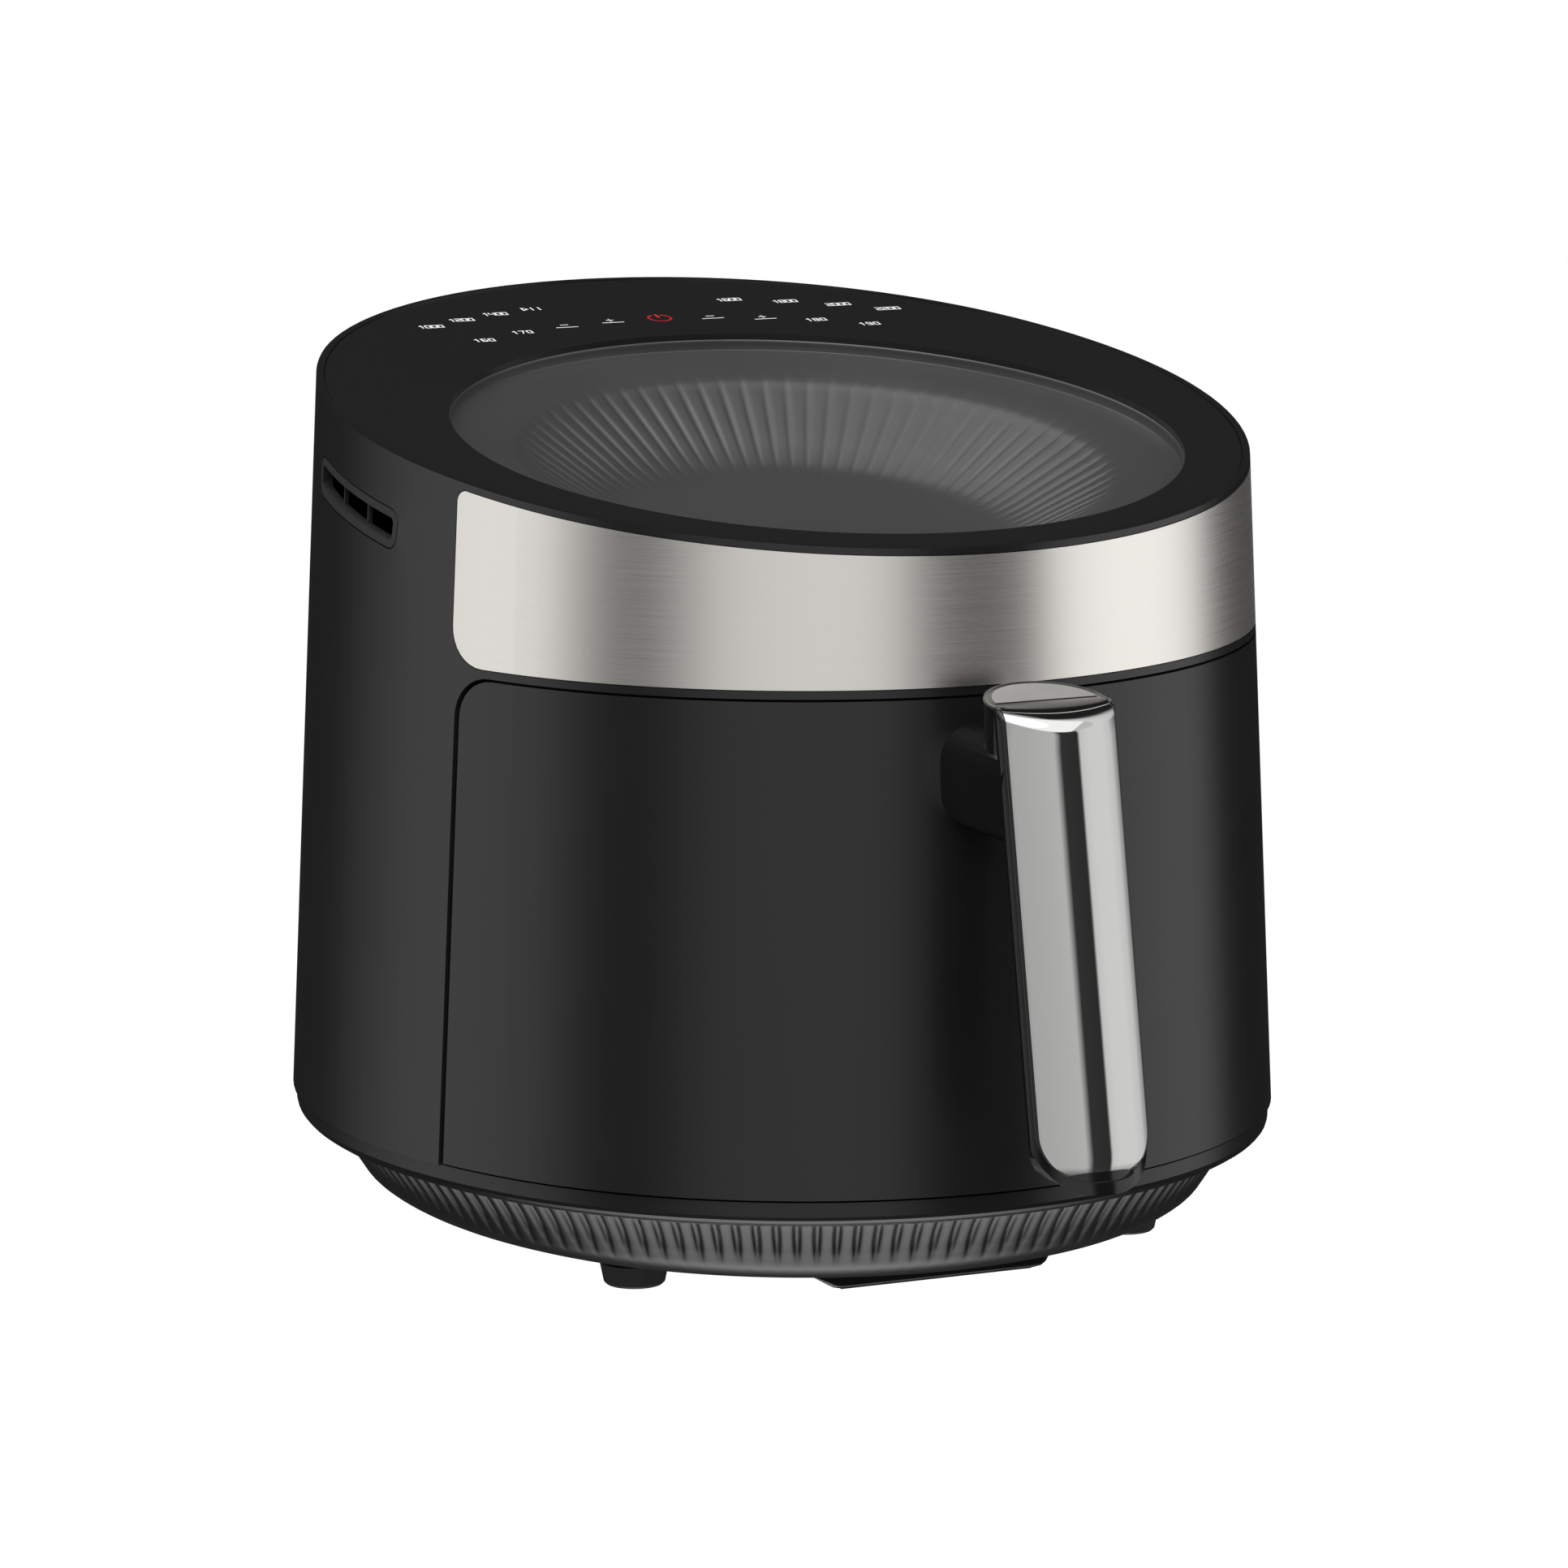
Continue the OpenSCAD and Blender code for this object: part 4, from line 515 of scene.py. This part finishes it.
def solid_mesh(name, points, faces):
    """Smooth-shaded mesh whose faces all look outwards."""
    mesh = bpy.data.meshes.new(name)
    mesh.from_pydata(points, [], faces)
    build = bmesh.new()
    build.from_mesh(mesh)
    bmesh.ops.recalc_face_normals(build, faces=build.faces)
    build.to_mesh(mesh)
    build.free()
    mesh.shade_smooth()
    return mesh


def creased_mesh(name, points, faces):
    """The same, with edges that turn sharply kept sharp."""
    mesh = solid_mesh(name, points, faces)
    mesh.set_sharp_from_angle(angle=math.radians(38))
    return mesh


def ring_faces(rings, around, joined):
    """Faces between rings of points; when joined, the last ring meets the first."""
    return [
        (k * around + i, k * around + (i + 1) % around,
         (k + 1) % rings * around + (i + 1) % around, (k + 1) % rings * around + i)
        for k in range(rings if joined else rings - 1) for i in range(around)
    ]


def ring_mesh(name, rings, turns, pushes):
    """Shell from rings of points, each point with its turn and its push."""
    faces = ring_faces(len(rings), len(turns), True)
    mesh = solid_mesh(name, [p for ring in rings for p in ring], faces)
    mesh.attributes.new("turn", "FLOAT", "POINT").data.foreach_set(
        "value", [t for _ in rings for t in turns])
    mesh.attributes.new("push", "FLOAT_VECTOR", "POINT").data.foreach_set(
        "vector", [v for ring in pushes for p in ring for v in p])
    return mesh


def smooth_rows(rows, steps):
    """Catmull-Rom curve through rows of numbers, with steps points in each stretch."""
    curve = []
    for k in range(len(rows) - 1):
        a, b, c, d = (rows[min(max(k + j, 0), len(rows) - 1)] for j in (-1, 0, 1, 2))
        for i in range(steps):
            t = i / steps
            curve.append([
                0.5 * (2 * q + (r - p) * t + (2 * p - 5 * q + 4 * r - s) * t * t
                       + (3 * q - p - 3 * r + s) * t ** 3)
                for p, q, r, s in zip(a, b, c, d)
            ])
    return curve + [rows[-1]]


print("mesh builders ready")

# %% [markdown]
# The tree draws the groove as one minus the height of a row of half waves, raised to a power:
# the higher the power, the narrower the groove and the wider the reed beside it.


# %% The flute tree
def flute_tree():
    """Geometry Nodes tree that pushes a bowl's points into reeds with narrow grooves."""
    tree = bpy.data.node_groups.new("flutes", "GeometryNodeTree")
    for name, kind in (("Geometry", "Geometry"), ("Flutes", "Float"), ("Depth", "Float"),
                       ("Narrowness", "Float"), ("Finish", "Material")):
        tree.interface.new_socket(name=name, in_out="INPUT", socket_type="NodeSocket" + kind)
    tree.interface.new_socket(name="Geometry", in_out="OUTPUT", socket_type="NodeSocketGeometry")
    given = add(tree, "NodeGroupInput").outputs
    read = "GeometryNodeInputNamedAttribute"
    turn = add(tree, read, {"data_type": "FLOAT"}, {"Name": "turn"}).outputs[0]
    push = add(tree, read, {"data_type": "FLOAT_VECTOR"}, {"Name": "push"}).outputs[0]
    angle = calc(tree, "MULTIPLY", calc(tree, "MULTIPLY", turn, given["Flutes"]), math.pi)
    reed = calc(tree, "ABSOLUTE", calc(tree, "SINE", angle))
    groove = calc(tree, "POWER", calc(tree, "SUBTRACT", 1.0, reed), given["Narrowness"])
    deep = calc(tree, "MULTIPLY", groove, given["Depth"])
    shift = add(tree, "ShaderNodeVectorMath", {"operation": "SCALE"}, {0: push, "Scale": deep})
    moved = add(tree, "GeometryNodeSetPosition", inputs={
        "Geometry": given["Geometry"], "Offset": shift.outputs[0]})
    whole = add(tree, "GeometryNodeRealizeInstances", inputs={"Geometry": moved.outputs[0]})
    dressed = add(tree, "GeometryNodeSetMaterial", inputs={
        "Geometry": whole.outputs[0], "Material": given["Finish"]})
    add(tree, "NodeGroupOutput", inputs={"Geometry": dressed.outputs[0]})
    return tree


FLUTES = flute_tree()


def socket_id(tree, name):
    """Identifier of a tree's input, which a modifier's value is set by."""
    return next(item.identifier for item in tree.interface.items_tree
                if item.name == name and item.in_out == "INPUT")


def grown(name, mesh, tree, values):
    """Plain mesh that a Geometry Nodes tree makes of another, with the named inputs."""
    seed = bpy.data.objects.new(name + "_seed", mesh)
    bpy.context.scene.collection.objects.link(seed)
    modifier = seed.modifiers.new("tree", "NODES")
    modifier.node_group = tree
    for key, value in values.items():
        modifier[socket_id(tree, key)] = value
    graph = bpy.context.evaluated_depsgraph_get()
    result = bpy.data.meshes.new_from_object(seed.evaluated_get(graph))
    result.name = name
    bpy.data.objects.remove(seed)
    return result


print("flute tree has", len(FLUTES.nodes), "nodes")

# %% [markdown]
# The base is an oval bowl. Its flutes hang under the body's curved rim and fade out where the
# bowl turns under, so the shares below fall to nothing on the way down.

# %% Fluted base
FLANK_FLUTES = 27
END_FLUTES = 47
BASE_FLUTES = 2 * (FLANK_FLUTES + END_FLUTES)
POINTS_PER_FLUTE = 8
RING_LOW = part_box("fluted_base")[1].z
BASE_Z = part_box("fluted_base")[0].z
RING_IN = 10.9 * MM
COVER_INSET = 42 * MM


def oval_turns():
    """Normal angle, and share of all the flutes passed, for each column of points."""
    angles, turns = [], []
    passed = 0
    for side in (0, math.pi):
        for start, sweep, flutes in ((side - FLANK, 2 * FLANK, FLANK_FLUTES),
                                     (side + FLANK, math.pi - 2 * FLANK, END_FLUTES)):
            for i in range(flutes * POINTS_PER_FLUTE):
                share = i / (flutes * POINTS_PER_FLUTE)
                angles.append(start + sweep * share)
                turns.append((passed + flutes * share) / BASE_FLUTES)
            passed += flutes
    return angles, turns


def fluted_base():
    # Inset from the half width, height, and share of the flutes' depth
    outer = smooth_rows([
        (RING_IN + 0.4 * MM, RING_LOW, 0.8),
        (RING_IN + 2.8 * MM, RING_LOW - 2.8 * MM, 1.0),
        (RING_IN + 5.5 * MM, RING_LOW - 6.4 * MM, 1.0),
        (RING_IN + 7.8 * MM, BASE_Z + 15.2 * MM, 0.75),
        (RING_IN + 10.4 * MM, BASE_Z + 11.2 * MM, 0.3),
        (RING_IN + 14.0 * MM, BASE_Z + 6.5 * MM, 0.0),
        (RING_IN + 21.5 * MM, BASE_Z + 2 * MM, 0.0),
        (COVER_INSET - 1 * MM, BASE_Z, 0.0),
    ], 4)
    inner = [
        (COVER_INSET, BASE_Z + 2.2 * MM, 0.0), (RING_IN + 16.6 * MM, BASE_Z + 9 * MM, 0.0),
        (RING_IN + 4.5 * MM, RING_LOW, 0.0),
    ]
    angles, turns = oval_turns()
    rings, pushes = [], []
    for inset, z, share in outer + inner:
        rings.append([(*oval_point(HALF_W - inset, a), z) for a in angles])
        pushes.append([(-math.cos(a) * share, -math.sin(a) * share, 0.0) for a in angles])
    smooth = ring_mesh("fluted_base_bowl", rings, turns, pushes)
    mesh = grown("fluted_base_bowl", smooth, FLUTES, {
        "Flutes": float(BASE_FLUTES), "Depth": 2.4 * MM, "Narrowness": 1.9,
        "Finish": base_grey})
    piece = add_object("fluted_base_bowl", mesh, "housing")
    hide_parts("fluted_base")
    return piece


print(len(fluted_base().data.polygons), "faces in the fluted base")

# %% [markdown]
# A low runner lies under the front edge, a little clear of the table. It is a short moulded
# bar, so it is lofted from stations along its length. Each is the same section with a rounded
# lower edge, and the bar thins out towards both ends.

# %% Front runner
SKID_FRONT = -128.4 * MM
SKID_BACK = -94 * MM
SKID_Z = 2.5 * MM
SKID_ROUND = 1.8 * MM


def front_runner():
    # Place along the length, and height of the lower face over its lowest level, in mm
    stations = [(-47, 6.4), (-46.2, 6.0), (-38.6, 1.5), (-36.6, 0.5), (-34, 0.0), (0, 0.0),
                (36, 0.0), (38.6, 0.4), (40.2, 1.5), (41.2, 3.2), (41.7, 6.4)]
    high = BASE_Z + 0.6 * MM
    arc = [math.pi / 2 * i / 6 for i in range(7)]
    points = []
    for x, lift in stations:
        low = SKID_Z + lift * MM
        r = min(SKID_ROUND, (high - low) * 0.7)
        section = [(SKID_FRONT + r * (1 - math.cos(t)), low + r * (1 - math.sin(t))) for t in arc]
        section += [(SKID_BACK, low), (SKID_BACK, high), (SKID_FRONT, high)]
        points += [(x * MM, y, z) for y, z in section]
    around = len(section)
    faces = ring_faces(len(stations), around, False)
    faces += [tuple(range(around)), tuple(range(len(points) - around, len(points)))]
    mesh = creased_mesh("front_runner", points, faces)
    return add_object("front_runner", mesh, "housing", gloss_black)


print(len(front_runner().data.polygons), "faces in the front runner")

# %% [markdown]
# The dish has a plain lip, a sloping shoulder, and flutes that run down to its floor. It lies
# in the slanted top, so its grooves are pushed square to the slope. They are shallower than
# the base's.

# %% Fluted dish
DISH_FLUTES = 80
DISH_DEPTH = 34 * MM
DISH_UNDER = 36.4 * MM
# Radius at which the rows of points end, next to the middle
POLE = 0.02 * MM


def fluted_dish():
    # Radius, depth below the rim, and share of the flutes' depth
    lip = [(DISH_R + 5.3 * MM, 2.4 * MM, 0.0), (DISH_R - 0.4 * MM, 2.4 * MM, 0.0)]
    bowl = smooth_rows([
        (DISH_R - 0.5 * MM, 3.0 * MM, 0.0),
        (DISH_R - 0.6 * MM, 5.4 * MM, 0.0),
        (DISH_R - 1.6 * MM, 6.2 * MM, 0.0),
        (DISH_R - 9 * MM, 7.2 * MM, 0.0),
        (103 * MM, 10.4 * MM, 0.15),
        (98 * MM, 13.2 * MM, 0.6),
        (90 * MM, 18.0 * MM, 1.0),
        (80 * MM, 24.2 * MM, 0.9),
        (72 * MM, 29.2 * MM, 0.5),
        (64 * MM, 33.0 * MM, 0.1),
        (54 * MM, DISH_DEPTH, 0.0),
        (25 * MM, DISH_DEPTH, 0.0),
    ], 4) + [(0.6 * MM, DISH_DEPTH, 0.0), (POLE, DISH_DEPTH, 0.0)]
    under = [
        (POLE, DISH_UNDER, 0.0), (60 * MM, DISH_UNDER, 0.0), (102 * MM, 15.3 * MM, 0.0),
        (DISH_R + 1.6 * MM, 9.6 * MM, 0.0), (DISH_R + 1.6 * MM, 4 * MM, 0.0),
        (DISH_R + 5.3 * MM, 4 * MM, 0.0),
    ]
    count = DISH_FLUTES * POINTS_PER_FLUTE
    turns = [i / count for i in range(count)]
    angles = [math.tau * turn for turn in turns]
    down = on_slope(0, 0, -1) - on_slope(0, 0, 0)
    rings, pushes = [], []
    for radius, depth, share in lip + bowl + under:
        around = [(radius * math.cos(a), radius * math.sin(a)) for a in angles]
        rings.append([on_slope(x, DISH_Y + y, -depth) for x, y in around])
        pushes.append([tuple(down * share)] * count)
    smooth = ring_mesh("dish_bowl", rings, turns, pushes)
    mesh = grown("dish_bowl", smooth, FLUTES, {
        "Flutes": float(DISH_FLUTES), "Depth": 1.1 * MM, "Narrowness": 2.2,
        "Finish": dish_grey})
    piece = add_object("dish_bowl", mesh, "housing")
    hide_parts("dish")
    return piece


print(len(fluted_dish().data.polygons), "faces in the dish")

# %% [markdown]
# ## The handle's bright trim
# A chrome face covers the front of the grip and turns over its brow. A black cap carries on
# from there over the head. Its band over the brow, between the chrome and the plate, is painted
# dark reflection: black plastic put where the chrome mirrors the dark. Round the plate the cap is
# the real black border. A satin plate is let into the cap, and a black bezel runs round it all.
# A polished surface shows every kink, so face and cap follow one smooth curve. Each column of
# points starts at the lower end, climbs the bowed and leaning face, and turns over the brow on a
# quarter ellipse. The face ends part of the way round it, where the cap starts.

# %% Surface of the handle's face and head
TRIM_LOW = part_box("handle_trim")[0].z
HEAD_Y = -208 * MM
HEAD_R = 18.5 * MM
FACE_W = 19 * MM
LEAN = math.radians(11.3)
GRIP = Vector((0, -217.5 * MM, 179.77 * MM))
# The face bows across as a hyperbola with its middle BOW_FRONT before the grip's centre, and
# its lower end bends back over the height BEND
BOW_RISE = 80.3 * MM
BOW_SPAN = 43.9 * MM
BOW_FRONT = 11.6 * MM
BEND = 10 * MM
BEND_BACK = 1.9 * MM
FOOT_R = 14 * MM
# The brow's height in the middle, and how much less it is at the sides
BROW_H = 9.3 * MM
BROW_FALL = 4.0 * MM
# Turn of the brow where the chrome face ends and the cap's painted dark band starts
BROW_END = math.radians(52)
# Half the width of the narrowest row of points
TIP = 0.4 * MM
PLATE_FRONT = 0.6 * MM
PLATE_BORDER = 1.3 * MM


def face_point(x, z):
    """Point of the bowed, leaning front face of the grip; its lower end bends back."""
    bow = BOW_RISE * (math.sqrt(1 + (x / BOW_SPAN) ** 2) - 1) - BOW_FRONT
    bow += BEND_BACK * max(1 - (z - TRIM_LOW) / BEND, 0) ** 2
    run = (z - GRIP.z + bow * math.sin(LEAN)) / math.cos(LEAN)
    return Vector((x, GRIP.y + bow * math.cos(LEAN) + run * math.sin(LEAN), z))


def plate_height(y):
    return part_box("handle_trim")[1].z + (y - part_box("handle_trim")[1].y) * math.tan(RIM_TILT)


def quarter(steps):
    """Angles from 0 to 90 degrees."""
    return [math.pi / 2 * i / steps for i in range(steps + 1)]


def brow_point(share, t):
    """Point of the rounded brow, t turning from the face at 0 to the top at 90 degrees."""
    height = BROW_H - BROW_FALL * share * share
    top = plate_height(HEAD_Y)
    x = share * FACE_W
    depth = HEAD_Y - face_point(x, top - height).y
    return Vector((x, HEAD_Y - depth * math.cos(t), top - height * (1 - math.sin(t))))


def face_column(share):
    """Points of one column of the face, its share running from -1 at the left to 1."""
    column = []
    for t in quarter(16):
        rise = 1 - math.cos(t)
        half = FACE_W - FOOT_R + FOOT_R * math.sqrt(max(1 - (1 - rise) ** 2, 0))
        column.append(face_point(share * half, TRIM_LOW + FOOT_R * rise))
    foot = TRIM_LOW + FOOT_R
    climb = brow_point(share, 0).z - foot
    column += [face_point(share * FACE_W, foot + climb * i / 30) for i in range(1, 30)]
    return column + [brow_point(share, BROW_END * i / 12) for i in range(13)]


def painted_dark_brow_and_cap_column(share):
    """Points of one column of the black cap, from the brow back over the top; on the brow it is
    painted dark reflection.
    """
    column = [brow_point(share, BROW_END + (math.pi / 2 - BROW_END) * i / 8) for i in range(8)]
    for t in quarter(12):
        y = HEAD_Y + HEAD_R * math.sin(t)
        column.append(Vector((share * max(FACE_W * math.cos(t), TIP), y, plate_height(y))))
    return column


def plate_column(share):
    """Points of one column of the plate let into the cap, inside its border."""
    column = []
    reach = HEAD_R - PLATE_BORDER
    for t in quarter(12):
        y = HEAD_Y + PLATE_FRONT + (reach - PLATE_FRONT) * math.sin(t)
        half = (FACE_W - PLATE_BORDER) * math.sqrt(max(1 - ((y - HEAD_Y) / reach) ** 2, 0))
        column.append(Vector((share * max(half, TIP), y, plate_height(y))))
    return column


print("handle's face rises from", round(TRIM_LOW / MM, 1), "to",
      round(brow_point(0, 0).z / MM, 1), "mm")

# %% [markdown]
# Each part is a sheet: a grid of points in front, the same grid moved inwards behind, and a
# band of faces that joins them along the edge. The edge is turned down a little, as pressed
# metal is. The bezel is swept along the outline of face and cap with one small section.


# %% Bright face, cap, plate and bezel
def outward_grid(columns):
    """Points of a grid of columns, row by row, with their outward normals, and its faces."""
    tall, row = len(columns[0]), len(columns)
    quads = [(k * row + i, k * row + i + 1, (k + 1) * row + i + 1, (k + 1) * row + i)
             for k in range(tall - 1) for i in range(row - 1)]
    sheet = bpy.data.meshes.new("sheet")
    sheet.from_pydata([column[k] for k in range(tall) for column in columns], [], quads)
    build = bmesh.new()
    build.from_mesh(sheet)
    bmesh.ops.recalc_face_normals(build, faces=build.faces)
    grid = [(v.co.copy(), v.normal.copy()) for v in build.verts]
    build.free()
    bpy.data.meshes.remove(sheet)
    if sum(normal.z - normal.y for _, normal in grid) < 0:
        grid = [(co, -normal) for co, normal in grid]
    return grid, quads


def curved_sheet(name, column_of, finish, sink=0.0, turn_down=0.35 * MM, thick=1.1 * MM):
    """Closed shell behind a grid of points; also returns the points on its four sides."""
    row = 29
    columns = [column_of(math.sin(math.pi / 2 * (2 * i / (row - 1) - 1))) for i in range(row)]
    grid, quads = outward_grid(columns)
    total = len(grid)
    left = list(range(0, total, row))
    right = list(range(row - 1, total, row))
    foot = list(range(row))
    top = list(range(total - row, total))
    loop = foot + right[1:-1] + top[::-1] + left[-2:0:-1]
    edge = set(loop)
    front = [co - normal * (sink + (turn_down if i in edge else 0))
             for i, (co, normal) in enumerate(grid)]
    back = [co - normal * (sink + thick) for co, normal in grid]
    faces = quads + [tuple(v + total for v in reversed(quad)) for quad in quads]
    faces += [(here, here + total, there + total, there)
              for here, there in zip(loop, loop[1:] + loop[:1])]
    piece = add_object(name, creased_mesh(name, front + back, faces), "drawer", finish)
    sides = {"left": left, "right": right, "foot": foot, "top": top}
    return piece, {side: [grid[i] for i in line] for side, line in sides.items()}


def handle_bezel(edge):
    """Glossy black bead round the trim, which closes the step down to the grip."""
    # Distance outwards from the trim's edge, and height over the trim's face
    section = [(-0.2, -0.9), (-0.15, -0.15), (0.1, 0.05), (0.5, 0.1), (0.95, -0.1), (1.3, -0.55),
               (1.45, -1.2), (1.45, -2.6), (0.6, -2.8)]
    points = []
    total = len(edge)
    for i, (co, normal) in enumerate(edge):
        along = (edge[(i + 1) % total][0] - edge[i - 1][0]).normalized()
        outward = along.cross(normal).normalized()
        points += [co + (outward * step + normal * rise) * MM for step, rise in section]
    mesh = creased_mesh("handle_bezel", points, ring_faces(total, len(section), True))
    return add_object("handle_bezel", mesh, "drawer", gloss_black)


face, face_side = curved_sheet("handle_brightwork", face_column, chrome)
# The cap's black band over the brow is painted dark reflection, in place of the dark the chrome
# mirrors there
_, dark_brow_and_cap_side = curved_sheet(
    "handle_cap_and_painted_dark_brow", painted_dark_brow_and_cap_column, gloss_black, sink=0.2 * MM, turn_down=0.1 * MM)
plate, _ = curved_sheet(
    "handle_plate", plate_column, plate_steel, turn_down=0.0, thick=0.6 * MM)
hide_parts("handle_trim")
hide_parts("handle_trim")
# Along the foot, up the right side, back round the head and down the left side
trim_edge = (face_side["foot"] + face_side["right"][1:] + dark_brow_and_cap_side["right"][1:]
             + dark_brow_and_cap_side["top"][-2::-1] + dark_brow_and_cap_side["left"][-2:0:-1] + face_side["left"][:0:-1])
print(len(handle_bezel(trim_edge).data.polygons), "faces in the bezel round the trim")

# %% [markdown]
# ## Marks of the touch keys
# Small white marks are printed on the panel, one on each key, in two arcs round the dish. A
# red ring marks the power key. They are drawn with short straight strokes, like a plotter
# draws, and lie on the panel as a film of ink. Plain numbers stand for the programmes.

# %% Key marks
PANEL_LIFT = -0.3 * MM
KEYS_TURN = 1.7
INNER_ARC = 147 * MM
OUTER_ARC = 171 * MM
INNER_PITCH = 7.4
OUTER_TURNS = [-13.9, -19.4, -24.7, -29.9, 11.6, 18.4, 24.8, 30.8]
GLYPH = 0.95 * MM
INK_WIDTH = 0.48 * MM
POWER_R = 4 * MM
POWER_WIDTH = 0.8 * MM
# Strokes of each glyph, on a grid two units wide and four high
GLYPHS = {
    "0": [(0, 0), (2, 0), (2, 4), (0, 4), (0, 0)],
    "1": [(0.4, 3.2), (1.2, 4), (1.2, 0)],
    "2": [(0, 4), (2, 4), (2, 2), (0, 2), (0, 0), (2, 0)],
    "3": [(0, 4), (2, 4), (2, 2), (0.5, 2), (2, 2), (2, 0), (0, 0)],
    "4": [(0, 4), (0, 2), (2, 2), (2, 4), (2, 0)],
    "5": [(2, 4), (0, 4), (0, 2), (2, 2), (2, 0), (0, 0)],
    "6": [(2, 4), (0, 4), (0, 0), (2, 0), (2, 2), (0, 2)],
    "7": [(0, 4), (2, 4), (0.8, 0)],
    "8": [(0, 2), (0, 4), (2, 4), (2, 0), (0, 0), (0, 2), (2, 2)],
    "9": [(2, 2), (0, 2), (0, 4), (2, 4), (2, 0), (0, 0)],
    "-": [(1.3, 3.2), (4.3, 3.2)],
    "+": [(1.3, 3.2), (4.3, 3.2), (2.8, 3.2), (2.8, 5.0), (2.8, 1.4)],
    ">": [(0, 0), (2.4, 2), (0, 4), (0, 0)],
    "|": [(1, 0), (1, 4)],
    "_": [(-5.0, -0.6), (4.2, -0.6)],
}
# Nothing is printed where the power mark goes
INNER_MARKS = ["160", "170", "-_", "+_", None, "-_", "+_", "180", "190"]
OUTER_MARKS = [">||", "1400", "1200", "1000", "1600", "1800", "2000", "2200"]


def stroke(build, points, width, thick):
    """Ink line through points (x, y) of the panel's plane."""
    for (ax, ay), (bx, by) in zip(points, points[1:]):
        along = Vector((bx - ax, by - ay)).normalized() * width / 2
        side = Vector((-along.y, along.x))
        corners = [
            (ax - along.x + side.x, ay - along.y + side.y),
            (bx + along.x + side.x, by + along.y + side.y),
            (bx + along.x - side.x, by + along.y - side.y),
            (ax - along.x - side.x, ay - along.y - side.y),
        ]
        low = [build.verts.new(on_slope(x, y, PANEL_LIFT - thick)) for x, y in corners]
        high = [build.verts.new(on_slope(x, y, PANEL_LIFT + thick)) for x, y in corners]
        build.faces.new(high)
        build.faces.new(low[::-1])
        for i in range(4):
            build.faces.new((low[i], low[(i + 1) % 4], high[(i + 1) % 4], high[i]))


def ink_piece(name, build, finish):
    bmesh.ops.recalc_face_normals(build, faces=build.faces)
    mesh = bpy.data.meshes.new(name)
    build.to_mesh(mesh)
    build.free()
    return add_object(name, mesh, "housing", finish)


def key_place(radius, degrees):
    t = math.radians(degrees + KEYS_TURN)
    return radius * math.sin(t), DISH_Y + radius * math.cos(t)


def key_marks():
    keys = [(INNER_ARC, (i - 4) * INNER_PITCH, mark) for i, mark in enumerate(INNER_MARKS) if mark]
    keys += [(OUTER_ARC, turn, mark) for turn, mark in zip(OUTER_TURNS, OUTER_MARKS)]
    build = bmesh.new()
    for radius, degrees, mark in keys:
        x, y = key_place(radius, degrees)
        pitch = (2.9 if len(mark) < 4 else 2.5) * GLYPH
        start = x - (len(mark) * pitch - 0.8 * GLYPH) / 2
        for i, glyph in enumerate(mark):
            line = [(start + i * pitch + gx * 0.9 * GLYPH, y + (gy - 2) * GLYPH * 0.85)
                    for gx, gy in GLYPHS[glyph]]
            stroke(build, line, INK_WIDTH, 0.02 * MM)
    return ink_piece("key_marks", build, ink_white)


def power_mark():
    x, y = key_place(INNER_ARC, 0)
    build = bmesh.new()
    turns = [math.radians(a) for a in range(30, 331, 10)]
    ring = [(x + POWER_R * math.sin(t), y + POWER_R * math.cos(t)) for t in turns]
    stroke(build, ring, POWER_WIDTH, 0.02 * MM)
    stroke(build, [(x, y + 1 * MM), (x, y + 4.4 * MM)], POWER_WIDTH, 0.03 * MM)
    return ink_piece("power_mark", build, ink_red)


print(len(key_marks().data.polygons), "and", len(power_mark().data.polygons), "faces of ink")
